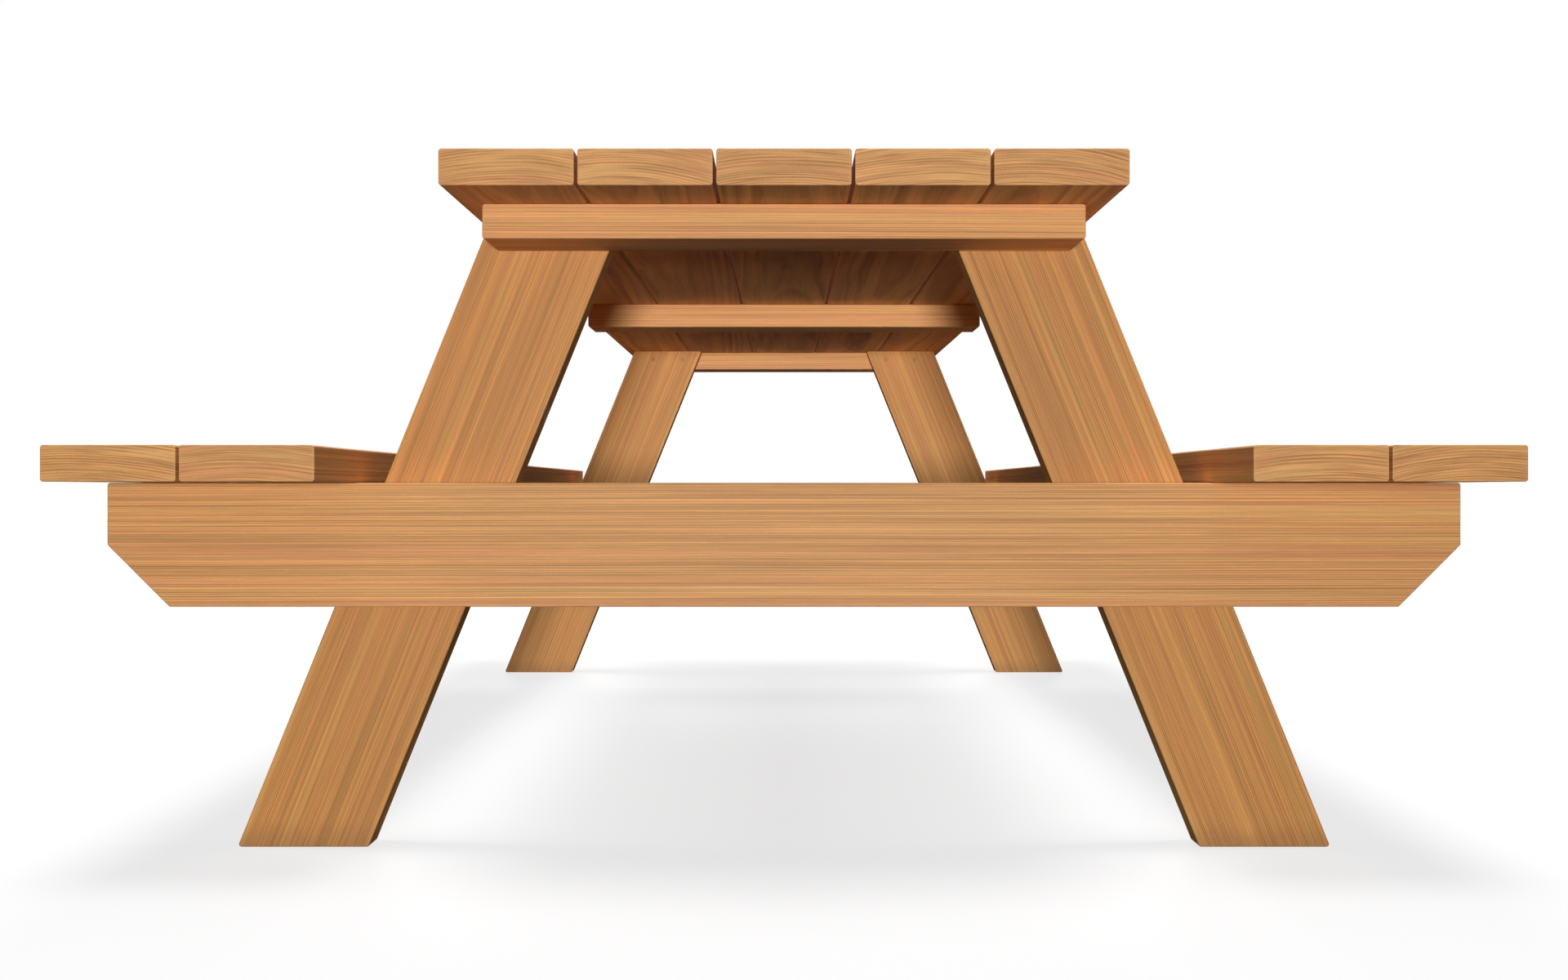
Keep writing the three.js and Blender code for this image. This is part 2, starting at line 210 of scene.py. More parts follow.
class Sheet:
    """A node tree being drawn: adds nodes, and sets or wires their sockets by name."""

    def __init__(self, tree: bpy.types.NodeTree) -> None:
        """Starts on a tree, and finds its group input and output if it has them.

        Args:
            tree: The tree to draw in.
        """
        self.tree = tree
        self.given = next((n for n in tree.nodes if n.type == "GROUP_INPUT"), None)
        self.result = next((n for n in tree.nodes if n.type == "GROUP_OUTPUT"), None)

    def add(self, kind: str, inputs: dict[Any, Any] | None = None, **settings: Any) -> bpy.types.Node:
        """Adds a node.

        Args:
            kind: The node's class name.
            inputs: Socket name or index to a value, or to an output socket to wire in.
            **settings: The node's own properties.

        Returns:
            The new node.
        """
        node = self.tree.nodes.new(kind)
        for key, value in settings.items():
            setattr(node, key, value)
        for key, value in (inputs or {}).items():
            self.put(node, key, value)
        return node

    def made(self, kind: str, inputs: dict[Any, Any] | None = None, **settings: Any) -> bpy.types.NodeSocket:
        """The first output of a new node, which is added as add() does."""
        return self.add(kind, inputs, **settings).outputs[0]

    def put(self, node: bpy.types.Node, key: str | int, value: Any) -> None:
        """Sets one input of a node, or wires an output socket into it.

        Args:
            node: The node.
            key: The input's name or index.
            value: The value, or the output socket.
        """
        if isinstance(key, int):
            socket = node.inputs[key]
        else:
            socket = next(s for s in node.inputs if s.name == key and s.enabled)
        if isinstance(value, bpy.types.NodeSocket):
            self.tree.links.new(value, socket)
        else:
            socket.default_value = value

    def math(self, operation: str, *values: Any) -> bpy.types.NodeSocket:
        """The result of a Math node on up to three values."""
        return self.made("ShaderNodeMath", dict(enumerate(values)), operation=operation)

    def product(self, *values: Any) -> bpy.types.NodeSocket:
        """The product of several values.

        Args:
            *values: Numbers or output sockets, two or more.

        Returns:
            The product's socket.
        """
        total = values[0]
        for value in values[1:]:
            total = self.math("MULTIPLY", total, value)
        return total

    def vector(self, operation: str, *values: Any) -> bpy.types.NodeSocket:
        """The vector result of a Vector Math node."""
        node = self.add("ShaderNodeVectorMath", dict(enumerate(values)), operation=operation)
        return node.outputs["Vector"]

    def sized(self, vector: Any, factor: Any) -> bpy.types.NodeSocket:
        """A vector or a colour made larger or smaller by one factor."""
        node = self.add("ShaderNodeVectorMath", {0: vector, "Scale": factor}, operation="SCALE")
        return node.outputs["Vector"]

    def stretched(self, place: Any, along: float, across: float) -> bpy.types.NodeSocket:
        """A place stretched by one factor along X and another along Y and Z."""
        return self.vector("MULTIPLY", place, (along, across, across))

    def noise(self, place: Any, scale: float = 1.0, detail: float = 2.0) -> bpy.types.NodeSocket:
        """The value of a noise texture at a place."""
        return self.made("ShaderNodeTexNoise", {"Vector": place, "Scale": scale, "Detail": detail})

    def step(self, value: Any, low: float, high: float, start: float = 0.0, end: float = 1.0) -> Any:
        """A smooth step from start to end as a value goes from low to high."""
        inputs = {"Value": value, "From Min": low, "From Max": high, "To Min": start, "To Max": end}
        return self.made("ShaderNodeMapRange", inputs, interpolation_type="SMOOTHSTEP")

    def mix(self, share: Any, first: Any, second: Any) -> bpy.types.NodeSocket:
        """Two colours mixed.

        Args:
            share: The share of the second.
            first: A colour or a socket.
            second: A colour or a socket.

        Returns:
            The mixed colour's socket.
        """
        inputs = {"Factor": share, "A": first, "B": second}
        node = self.add("ShaderNodeMix", inputs, data_type="RGBA")
        return next(s for s in node.outputs if s.enabled)

    def faded(self, noise: Any, share: Any) -> bpy.types.NodeSocket:
        """A noise brought to its middle value by a share of one.

        Args:
            noise: The noise's socket.
            share: How far it is brought.

        Returns:
            The quieter noise.
        """
        kept = self.math("SUBTRACT", 1.0, share)
        return self.math("MULTIPLY_ADD", self.math("SUBTRACT", noise, 0.5), kept, 0.5)

    def bumped(self, height: Any, depth: float, strength: float) -> bpy.types.NodeSocket:
        """The normal that a height gives, at a depth in metres and a strength."""
        inputs = {"Height": height, "Strength": strength, "Distance": depth}
        return self.add("ShaderNodeBump", inputs).outputs["Normal"]

    def attribute(self, name: str, output: str = "Vector") -> bpy.types.NodeSocket:
        """A mesh attribute as a vector, or as a number through "Fac"."""
        return self.add("ShaderNodeAttribute", attribute_name=name).outputs[output]

    def upright(self, value: Any) -> bpy.types.NodeSocket:
        """A vector that points along Z by a value."""
        return self.made("ShaderNodeCombineXYZ", {"Z": value})


def new_group(name: str, kind: str, inputs: Sockets, outputs: Sockets) -> Sheet:
    """A new node group with named sockets.

    Args:
        name: The group's name.
        kind: "ShaderNodeTree" or "GeometryNodeTree".
        inputs: Socket name to its type, without the NodeSocket prefix, and its default.
        outputs: The same for what the group puts out.

    Returns:
        The sheet of the group's tree.
    """
    tree = bpy.data.node_groups.new(name, kind)
    for way, sockets in (("INPUT", inputs), ("OUTPUT", outputs)):
        for label, (socket_type, default) in sockets.items():
            socket = tree.interface.new_socket(label, in_out=way, socket_type="NodeSocket" + socket_type)
            if default is not None:
                socket.default_value = default
    tree.nodes.new("NodeGroupInput")
    tree.nodes.new("NodeGroupOutput")
    return Sheet(tree)


def geometry_group(name: str, sizes: dict[str, float], extra: Sockets | None = None) -> Sheet:
    """A new geometry node group with a geometry in and out, sizes and a material.

    Args:
        name: The group's name.
        sizes: The name and default of each size.
        extra: Other inputs.

    Returns:
        The sheet of the group's tree.
    """
    inputs: Sockets = {"Geometry": ("Geometry", None)}
    inputs.update({label: ("Float", size) for label, size in sizes.items()})
    inputs.update(extra or {})
    inputs["Material"] = ("Material", None)
    return new_group(name, "GeometryNodeTree", inputs, {"Geometry": ("Geometry", None)})


def grouped(sheet: Sheet, group: Sheet, inputs: dict[str, Any]) -> bpy.types.Node:
    """A group placed in another tree.

    Args:
        sheet: The tree that the group goes in.
        group: The group.
        inputs: What its inputs are set to, or wired from.

    Returns:
        The group's node.
    """
    kind = "GeometryNodeGroup" if sheet.tree.bl_idname == "GeometryNodeTree" else "ShaderNodeGroup"
    return sheet.add(kind, inputs, node_tree=group.tree)


# ---- Shader groups ------------------------------------------------------------


def wood_figure_group() -> Sheet:
    """Growth rings, fine lines, fibres and colour bands around a pith that runs along X.

    Returns:
        The group, whose outputs are all values from 0 to 1.
    """
    sheet = new_group(
        "wood_figure",
        "ShaderNodeTree",
        {"Place": ("Vector", None), "Ring Spacing": ("Float", 3 * MM), "Waver": ("Float", 4 * MM)},
        {name: ("Float", None) for name in ("Rings", *LAYERS, *GRAINS)},
    )
    place = sheet.given.outputs["Place"]
    swing = sheet.math("SUBTRACT", sheet.noise(sheet.stretched(place, 1.3, 5.5)), 0.5)
    wobble = sheet.math("MULTIPLY", swing, sheet.given.outputs["Waver"])
    x, y, z = sheet.add("ShaderNodeSeparateXYZ", {0: place}).outputs
    section = sheet.vector("MULTIPLY", place, (0.0, 1.0, 1.0))
    radius = sheet.add("ShaderNodeVectorMath", {0: section}, operation="LENGTH").outputs["Value"]
    around = sheet.math("MULTIPLY", sheet.math("ARCTAN2", y, z), radius)
    reach = sheet.math("ADD", radius, wobble)
    layer = sheet.made("ShaderNodeCombineXYZ", {"X": x, "Y": around, "Z": reach})

    # A ring darkens slowly to its late wood, then stops short. No two years are alike:
    # a ring is early or late by parts of a year, and its late wood is pale or dark.
    darkening, darkest, stopping = 0.35, 0.88, 0.92
    unevenness = 2.2
    palest, contrast = 0.35, 0.60
    inputs = {"W": reach, "Scale": 55.0, "Detail": 1.0}
    seasons = sheet.made("ShaderNodeTexNoise", inputs, noise_dimensions="1D")
    years = sheet.math("DIVIDE", reach, sheet.given.outputs["Ring Spacing"])
    years = sheet.math("MULTIPLY_ADD", seasons, unevenness, years)
    season = sheet.math("FRACT", years)
    rise = sheet.step(season, darkening, darkest)
    fall = sheet.step(season, stopping, 1.0, 1.0, 0.0)
    inputs = {"W": sheet.math("FLOOR", years)}
    year = sheet.made("ShaderNodeTexWhiteNoise", inputs, noise_dimensions="1D")
    strength = sheet.math("MULTIPLY_ADD", year, contrast, palest)
    sheet.put(sheet.result, "Rings", sheet.product(rise, fall, strength))
    for name, scales in LAYERS.items():
        sheet.put(sheet.result, name, sheet.noise(sheet.vector("MULTIPLY", layer, scales)))
    for name, (along, across, detail) in GRAINS.items():
        sheet.put(sheet.result, name, sheet.noise(sheet.stretched(place, along, across), detail=detail))
    return sheet


def edge_wear_group() -> Sheet:
    """A mask along a board's edges, which fades over a width and is broken up by noise.

    Returns:
        The group. Place is measured from the board's middle, and Half is half its size.
    """
    sheet = new_group(
        "edge_wear",
        "ShaderNodeTree",
        {"Place": ("Vector", None), "Half": ("Vector", None), "Width": ("Float", 4 * MM)},
        {"Mask": ("Float", None)},
    )
    away = sheet.vector("ABSOLUTE", sheet.given.outputs["Place"])
    room = sheet.vector("SUBTRACT", sheet.given.outputs["Half"], away)
    x, y, z = sheet.add("ShaderNodeSeparateXYZ", {0: room}).outputs
    # An edge is where two of the three distances are small, so the middle one counts.
    lower, upper = sheet.math("MINIMUM", x, y), sheet.math("MAXIMUM", x, y)
    nearest = sheet.math("MAXIMUM", lower, sheet.math("MINIMUM", upper, z))
    # The noise narrows and widens the worn band.
    narrowest, widest = 0.25, 1.4
    patchy = sheet.noise(sheet.given.outputs["Place"], scale=38.0, detail=4.0)
    share = sheet.step(patchy, 0.3, 0.75, narrowest, widest)
    reach = sheet.math("MULTIPLY", sheet.given.outputs["Width"], share)
    share = sheet.math("DIVIDE", nearest, reach)
    sheet.put(sheet.result, "Mask", sheet.step(share, 0.0, 1.0, 1.0, 0.0))
    return sheet


def weather_group() -> Sheet:
    """Masks for damp ground stain at the feet and for dust on what faces up.

    Returns:
        The group. Wander and drop are how far the stain's top edge strays.
    """
    sheet = new_group(
        "weather",
        "ShaderNodeTree",
        {"Splash Height": ("Float", 0.035), "Wander": ("Float", 0.035), "Drop": ("Float", -0.017)},
        {"Damp": ("Float", None), "Dust": ("Float", None)},
    )
    given = sheet.given.outputs
    place = sheet.add("ShaderNodeTexCoord").outputs["Object"]
    height = sheet.add("ShaderNodeSeparateXYZ", {0: place}).outputs["Z"]
    edge = sheet.noise(place, scale=26.0, detail=4.0)
    ragged = sheet.math("MULTIPLY_ADD", edge, given["Wander"], given["Drop"])
    reach = sheet.math("DIVIDE", sheet.math("ADD", height, ragged), given["Splash Height"])
    sheet.put(sheet.result, "Damp", sheet.step(reach, 0.0, 1.0, 1.0, 0.0))
    normal = sheet.add("ShaderNodeNewGeometry").outputs["Normal"]
    # Dust starts to lie at one slope, and lies fully at another.
    bare, dusty = 0.6, 0.95
    upward = sheet.step(sheet.add("ShaderNodeSeparateXYZ", {0: normal}).outputs["Z"], bare, dusty)
    patches = sheet.step(sheet.noise(place, scale=7.0, detail=6.0), 0.42, 0.72)
    sheet.put(sheet.result, "Dust", sheet.math("MULTIPLY", upward, patches))
    return sheet


# ---- Finishes -----------------------------------------------------------------


def new_material(name: str) -> tuple[bpy.types.Material, Sheet, bpy.types.Node]:
    """An empty material with a Principled BSDF.

    Args:
        name: The material's name.

    Returns:
        The material, its sheet and its Principled BSDF.
    """
    material = bpy.data.materials.new(name)
    material.use_nodes = True
    sheet = Sheet(material.node_tree)
    shader = next(n for n in material.node_tree.nodes if n.type == "BSDF_PRINCIPLED")
    return material, sheet, shader


@dataclass(frozen=True)
class WoodFinish:
    """Oiled softwood boards of one tone.

    Early and late are the pale and dark sides of a growth ring. Blush and straw
    are the two colours that broad bands drift to.
    """

    slot: Finish
    early: str
    late: str
    blush: str
    straw: str
    ring_spacing: float
    waver: float
    roughness: float
    worn: str = "E0AE72"
    damp: str = "6B5238"
    dust: str = "CFC3B0"
    worn_strength: float = 0.30
    damp_strength: float = 0.30
    dust_strength: float = 0.06
    wear_width: float = 3.5 * MM
    gloss: float = 0.3
    relief: float = 0.25 * MM
    relief_strength: float = 0.35
    ring_share: float = 0.55
    fibre_share: float = 0.45

    def material(self, figure: Sheet, wear: Sheet, weather: Sheet) -> bpy.types.Material:
        """The finish as a material.

        Args:
            figure: The wood figure group.
            wear: The edge wear group.
            weather: The damp and dust group.

        Returns:
            The material.
        """
        material, sheet, shader = new_material(self.slot.value)
        inputs = {
            "Place": sheet.attribute(GRAIN_PLACE),
            "Ring Spacing": self.ring_spacing,
            "Waver": self.waver,
        }
        grain = grouped(sheet, figure, inputs).outputs
        inputs = {
            "Place": sheet.attribute(EDGE_PLACE),
            "Half": sheet.attribute(EDGE_HALF),
            "Width": self.wear_width,
        }
        edge = grouped(sheet, wear, inputs).outputs["Mask"]
        masks = grouped(sheet, weather, {}).outputs
        end = sheet.attribute(END_GRAIN, "Fac")

        colour = sheet.mix(grain["Rings"], linear(self.early), linear(self.late))
        for name, low, high, most, tint in (
            ("Band", 0.52, 0.66, 0.55, self.blush),
            ("Band", 0.46, 0.34, 0.65, self.straw),
            ("Line", 0.42, 0.28, 0.70, self.late),
        ):
            colour = sheet.mix(sheet.step(grain[name], low, high, 0.0, most), colour, linear(tint))
        values = {name: grain[name] for name in (*LAYERS, *GRAINS)}
        values["Pore"] = sheet.faded(grain["Pore"], end)
        values[BOARD_TONE] = sheet.attribute(BOARD_TONE, "Fac")
        values[END_GRAIN] = end
        shades = (sheet.step(values[name], *span) for name, span in SHADES.items())
        colour = sheet.sized(colour, sheet.product(*shades))
        for share, strength, over in (
            (edge, self.worn_strength, self.worn),
            (masks["Damp"], self.damp_strength, self.damp),
            (masks["Dust"], self.dust_strength, self.dust),
        ):
            colour = sheet.mix(sheet.math("MULTIPLY", share, strength), colour, linear(over))
        sheet.put(shader, "Base Color", colour)
        sheet.put(shader, "Specular IOR Level", self.gloss)

        rough = self.roughness
        for value, change in (
            (grain["Rings"], -0.10),
            (grain["Fibre"], 0.10),
            (masks["Dust"], 0.10),
            (edge, -0.08),
        ):
            rough = sheet.math("MULTIPLY_ADD", value, change, rough)
        sheet.put(shader, "Roughness", rough)

        fibres = sheet.math("MULTIPLY", grain["Fibre"], self.fibre_share)
        height = sheet.math("MULTIPLY_ADD", grain["Rings"], self.ring_share, fibres)
        sheet.put(shader, "Normal", sheet.bumped(height, self.relief, self.relief_strength))
        return material


@dataclass(frozen=True)
class SteelFinish:
    """A plated or coated steel, mottled in cells and finely scratched."""

    slot: Finish
    base: str
    mottle: str
    rubbed: str
    cell: float
    metallic: float
    roughness: float
    cloudiness: float = 0.22
    spangle_roughness: float = 0.08
    cloud_scale: float = 900.0
    scratch_scales: tuple[float, float] = (300.0, 4200.0)
    scratch_strength: float = 0.6
    scratch_height: float = -0.5
    relief: float = 0.05 * MM
    relief_strength: float = 0.3

    def material(self) -> bpy.types.Material:
        """The finish as a material.

        Returns:
            The material.
        """
        material, sheet, shader = new_material(self.slot.value)
        place = sheet.add("ShaderNodeTexCoord").outputs["Object"]
        cells = sheet.add("ShaderNodeTexVoronoi", {"Vector": place, "Scale": 1 / self.cell})
        spangle = sheet.add("ShaderNodeSeparateColor", {0: cells.outputs["Color"]}).outputs[0]
        cloud = sheet.noise(place, self.cloud_scale, detail=4.0)
        lines = sheet.noise(sheet.stretched(place, *self.scratch_scales))
        scratches = sheet.step(lines, 0.62, 0.74)
        colour = sheet.mix(spangle, linear(self.base), linear(self.mottle))
        scratched = sheet.math("MULTIPLY", scratches, self.scratch_strength)
        colour = sheet.mix(scratched, colour, linear(self.rubbed))
        sheet.put(shader, "Base Color", colour)
        sheet.put(shader, "Metallic", self.metallic)
        smoothest = self.roughness - self.cloudiness / 2
        rough = sheet.math("MULTIPLY_ADD", cloud, self.cloudiness, smoothest)
        rough = sheet.math("MULTIPLY_ADD", spangle, self.spangle_roughness, rough)
        sheet.put(shader, "Roughness", rough)
        height = sheet.math("MULTIPLY_ADD", scratches, self.scratch_height, cloud)
        sheet.put(shader, "Normal", sheet.bumped(height, self.relief, self.relief_strength))
        return material


WOODS = (
    WoodFinish(Finish.PLANK, "E0A465", "B3733D", "DE9662", "E2AD6B", 2.9 * MM, 8 * MM, 0.58),
    WoodFinish(Finish.RAIL, "E0A465", "B3733D", "DE9662", "E2AD6B", 2.6 * MM, 5 * MM, 0.56),
    WoodFinish(Finish.LEG, "CF9150", "A3672D", "C8864C", "CE9652", 2.3 * MM, 5 * MM, 0.56),
)
STEELS = (
    SteelFinish(Finish.ZINC, "9FA3A3", "C2C5C4", "D8DAD8", 2.2 * MM, 0.95, 0.46),
    SteelFinish(Finish.COATED, "A5763F", "B2834B", "C9A878", 1.1 * MM, 0.10, 0.62),
)


def make_finishes() -> Finishes:
    """Makes every finish.

    Returns:
        The materials by slot.
    """
    groups = (wood_figure_group(), edge_wear_group(), weather_group())
    made = {wood.slot: wood.material(*groups) for wood in WOODS}
    made.update({steel.slot: steel.material() for steel in STEELS})
    return made


# ---- Geometry node trees ------------------------------------------------------


def finish_tree(sheet: Sheet, geometry: bpy.types.NodeSocket, sharp_angle: float = 30.0) -> None:
    """Ends a tree: realizes its instances, shades it smooth but for sharp edges, and paints it.

    Args:
        sheet: The tree's sheet.
        geometry: What the tree has made.
        sharp_angle: The bend, in degrees, past which an edge stays sharp.
    """
    real = sheet.made("GeometryNodeRealizeInstances", {"Geometry": geometry})
    smooth = sheet.made("GeometryNodeSetShadeSmooth", {"Geometry": real}, domain="FACE")
    angle = sheet.add("GeometryNodeInputMeshEdgeAngle").outputs["Unsigned Angle"]
    sharp = sheet.made("FunctionNodeCompare", {"A": angle, "B": math.radians(sharp_angle)})
    inputs = {"Geometry": smooth, "Selection": sharp, "Shade Smooth": False}
    creased = sheet.made("GeometryNodeSetShadeSmooth", inputs, domain="EDGE")
    inputs = {"Geometry": creased, "Material": sheet.given.outputs["Material"]}
    sheet.put(sheet.result, "Geometry", sheet.made("GeometryNodeSetMaterial", inputs))


def moved(sheet: Sheet, geometry: Any, height: Any) -> bpy.types.NodeSocket:
    """A geometry raised along Z by a height."""
    return sheet.made("GeometryNodeTransform", {"Geometry": geometry, "Translation": sheet.upright(height)})


def welded(sheet: Sheet, geometry: Any, distance: float) -> bpy.types.NodeSocket:
    """A mesh whose points are merged where they lie within a distance."""
    return sheet.made("GeometryNodeMergeByDistance", {"Geometry": geometry, "Distance": distance})


def boolean(sheet: Sheet, operation: str, first: Any, second: Any) -> bpy.types.NodeSocket:
    """The exact boolean of two meshes.

    Args:
        sheet: The tree's sheet.
        operation: "UNION", "INTERSECT", or "DIFFERENCE", which takes the second from the first.
        first: A mesh.
        second: A mesh.

    Returns:
        The result's socket.
    """
    node = sheet.add("GeometryNodeMeshBoolean", operation=operation, solver="EXACT")
    sheet.put(node, 0 if operation == "DIFFERENCE" else 1, first)
    sheet.put(node, 1, second)
    return node.outputs["Mesh"]


def swept(sheet: Sheet, path: Any, profile: Any, caps: bool = True) -> bpy.types.NodeSocket:
    """A profile swept along a path, closed at its ends if caps is true."""
    inputs = {"Curve": path, "Profile Curve": profile, "Fill Caps": caps}
    return sheet.made("GeometryNodeCurveToMesh", inputs)


def filleted(sheet: Sheet, curve: Any, steps: Any, radius: Any) -> bpy.types.NodeSocket:
    """A curve with its corners rounded in a number of steps."""
    inputs = {"Curve": curve, "Count": steps, "Radius": radius}
    return sheet.made("GeometryNodeFilletCurve", inputs, mode="POLY")


def timber_tree() -> Sheet:
    """Sweeps a board along Y from the corners of its outline in the XZ plane.

    Returns:
        The tree. Hollow is how deep the faces wander, and Seed where they start.
    """
    sheet = geometry_group(
        "timber",
        {"Start": 0.0, "End": 1.0, "Corner Radius": 3 * MM, "Hollow": 0.0, "Seed": 0.0},
        {"Corner Steps": ("Int", 6), "Stations": ("Int", 2)},
    )
    given = sheet.given.outputs
    inputs = {"Geometry": given["Geometry"], "Rotation": (math.pi / 2, 0.0, 0.0)}
    outline = sheet.made("GeometryNodeMeshToCurve", {"Mesh": sheet.made("GeometryNodeTransform", inputs)})
    section = filleted(sheet, outline, given["Corner Steps"], given["Corner Radius"])
    start, end = (sheet.made("ShaderNodeCombineXYZ", {"Y": given[name]}) for name in ("Start", "End"))
    line = sheet.made("GeometryNodeCurvePrimitiveLine", {"Start": start, "End": end})
    path = sheet.made("GeometryNodeResampleCurve", {"Curve": line, "Count": given["Stations"]})
    # The section comes out the other way round, so the faces are turned outwards again.
    board = sheet.made("GeometryNodeFlipFaces", {"Mesh": swept(sheet, path, section)})
    position = sheet.made("GeometryNodeInputPosition")
    shift = sheet.made("ShaderNodeCombineXYZ", {"X": given["Seed"], "Y": given["Seed"]})
    place = sheet.vector("ADD", sheet.vector("MULTIPLY", position, WANDER_SCALES), shift)
    depth = sheet.math("MULTIPLY", sheet.noise(place), given["Hollow"])
    normal = sheet.add("GeometryNodeInputNormal").outputs["Normal"]
    inward = sheet.vector("MULTIPLY", normal, (-1.0, 0.0, -1.0))
    inputs = {"Geometry": board, "Offset": sheet.sized(inward, depth)}
    finish_tree(sheet, sheet.made("GeometryNodeSetPosition", inputs))
    return sheet


def turned_pin_group() -> Sheet:
    """A closed turned pin, its head's face at z = 0: rim, cone, shank and pointed tip below.

    Returns:
        The group.
    """
    inputs: Sockets = {name: ("Float", size) for name, size in PIN_SIZES.items()}
    inputs["Sides"] = ("Int", 24)
    sheet = new_group("turned_pin", "GeometryNodeTree", inputs, {"Geometry": ("Geometry", None)})
    given = sheet.given.outputs
    sides, head, shank = given["Sides"], given["Head Radius"], given["Shank Radius"]
    neck = sheet.math("ADD", given["Rim"], given["Cone"])
    straight = sheet.math("SUBTRACT", sheet.math("SUBTRACT", given["Length"], given["Tip"]), neck)

    def tube(top: Any, bottom: Any, depth: Any, lowest: Any) -> bpy.types.NodeSocket:
        """An open tube from one radius to another.

        Args:
            top: Its upper radius.
            bottom: Its lower radius.
            depth: Its length.
            lowest: How far its lower rim lies below z = 0.

        Returns:
            The tube's socket.
        """
        inputs = {"Vertices": sides, "Radius Top": top, "Radius Bottom": bottom, "Depth": depth}
        cone = sheet.made("GeometryNodeMeshCone", inputs, fill_type="NONE")
        return moved(sheet, cone, sheet.math("MULTIPLY", lowest, -1.0))

    whole = sheet.add("GeometryNodeJoinGeometry")
    for part in (
        tube(shank, 0.0, given["Tip"], given["Length"]),
        tube(shank, shank, straight, sheet.math("ADD", neck, straight)),
        tube(head, shank, given["Cone"], neck),
        tube(head, head, given["Rim"], given["Rim"]),
        sheet.made("GeometryNodeMeshCircle", {"Vertices": sides, "Radius": head}, fill_type="NGON"),
    ):
        sheet.put(whole, "Geometry", part)
    sheet.put(sheet.result, "Geometry", welded(sheet, whole.outputs[0], SEAM_WELD))
    return sheet


def set_out(sheet: Sheet, points: Any, instance: Any, spin_seed: int) -> bpy.types.NodeSocket:
    """A geometry set on every point, its +Z along the point's facing, each turned at random about it.

    Args:
        sheet: The tree's sheet.
        points: The points.
        instance: The geometry.
        spin_seed: The seed of the turns.

    Returns:
        The instances' socket.
    """
    facing = sheet.made("GeometryNodeInputNamedAttribute", {"Name": FACING}, data_type="FLOAT_VECTOR")
    upright = sheet.made("FunctionNodeAlignRotationToVector", {"Vector": facing}, axis="Z")
    turn = sheet.add("FunctionNodeRandomValue", {"Max": math.tau, "Seed": spin_seed}, data_type="FLOAT")
    angle = next(s for s in turn.outputs if s.enabled)
    spin = sheet.made("FunctionNodeAxisAngleToRotation", {"Axis": (0.0, 0.0, 1.0), "Angle": angle})
    inputs = {"Rotation": upright, "Rotate By": spin}
    rotation = sheet.made("FunctionNodeRotateRotation", inputs, rotation_space="LOCAL")
    inputs = {"Points": points, "Instance": instance, "Rotation": rotation}
    return sheet.made("GeometryNodeInstanceOnPoints", inputs)


def drilling_tree(pin: Sheet) -> Sheet:
    """Drills a board at every place of a set of screws, with a countersink for each head.

    Args:
        pin: The turned pin group, which gives the drill its shape.

    Returns:
        The tree. Overrun is how far the drill starts above the face.
    """
    sheet = geometry_group(
        "drilling",
        {
            "Head Radius": 5.0 * MM,
            "Countersink": MM,
            "Cone": 3.0 * MM,
            "Bore Radius": 3.0 * MM,
            "Depth": 60.0 * MM,
            "Overrun": MM,
        },
        {"Places": ("Object", None)},
    )
    given = sheet.given.outputs
    inputs = {
        "Head Radius": given["Head Radius"],
        "Rim": sheet.math("ADD", given["Countersink"], given["Overrun"]),
        "Cone": given["Cone"],
        "Shank Radius": given["Bore Radius"],
        "Length": sheet.math("ADD", given["Depth"], given["Overrun"]),
        "Tip": DRILL_TIP,
        "Sides": 24,
    }
    drill = moved(sheet, grouped(sheet, pin, inputs).outputs[0], given["Overrun"])
    places = sheet.add("GeometryNodeObjectInfo", {"Object": given["Places"]}, transform_space="ORIGINAL")
    drills = set_out(sheet, places.outputs["Geometry"], drill, spin_seed=1)
    cutters = sheet.made("GeometryNodeRealizeInstances", {"Geometry": drills})
    finish_tree(sheet, boolean(sheet, "DIFFERENCE", given["Geometry"], cutters))
    return sheet


def threaded(sheet: Sheet, blank: Any) -> bpy.types.NodeSocket:
    """A pin with a helical ridge round its shank, from just above its tip.

    Args:
        sheet: The screw's tree, whose inputs give the sizes of the pin and the thread.
        blank: The pin.

    Returns:
        The threaded pin's socket.
    """
    given = sheet.given.outputs
    radius, length = given["Shank Radius"], given["Thread Length"]
    inputs = {
        "Resolution": THREAD_STEPS,
        "Rotations": sheet.math("DIVIDE", length, given["Thread Pitch"]),
        "Start Radius": radius,
        "End Radius": radius,
        "Height": length,
    }
    helix = sheet.made("GeometryNodeCurveSpiral", inputs)
    inputs = {"Resolution": THREAD_SIDES, "Radius": given["Thread Depth"]}
    ridge = swept(sheet, helix, sheet.made("GeometryNodeCurvePrimitiveCircle", inputs))
    above_tip = sheet.math("MULTIPLY_ADD", given["Tip"], THREAD_START, MM)
    ridge = moved(sheet, ridge, sheet.math("SUBTRACT", above_tip, given["Length"]))
    return boolean(sheet, "UNION", blank, ridge)


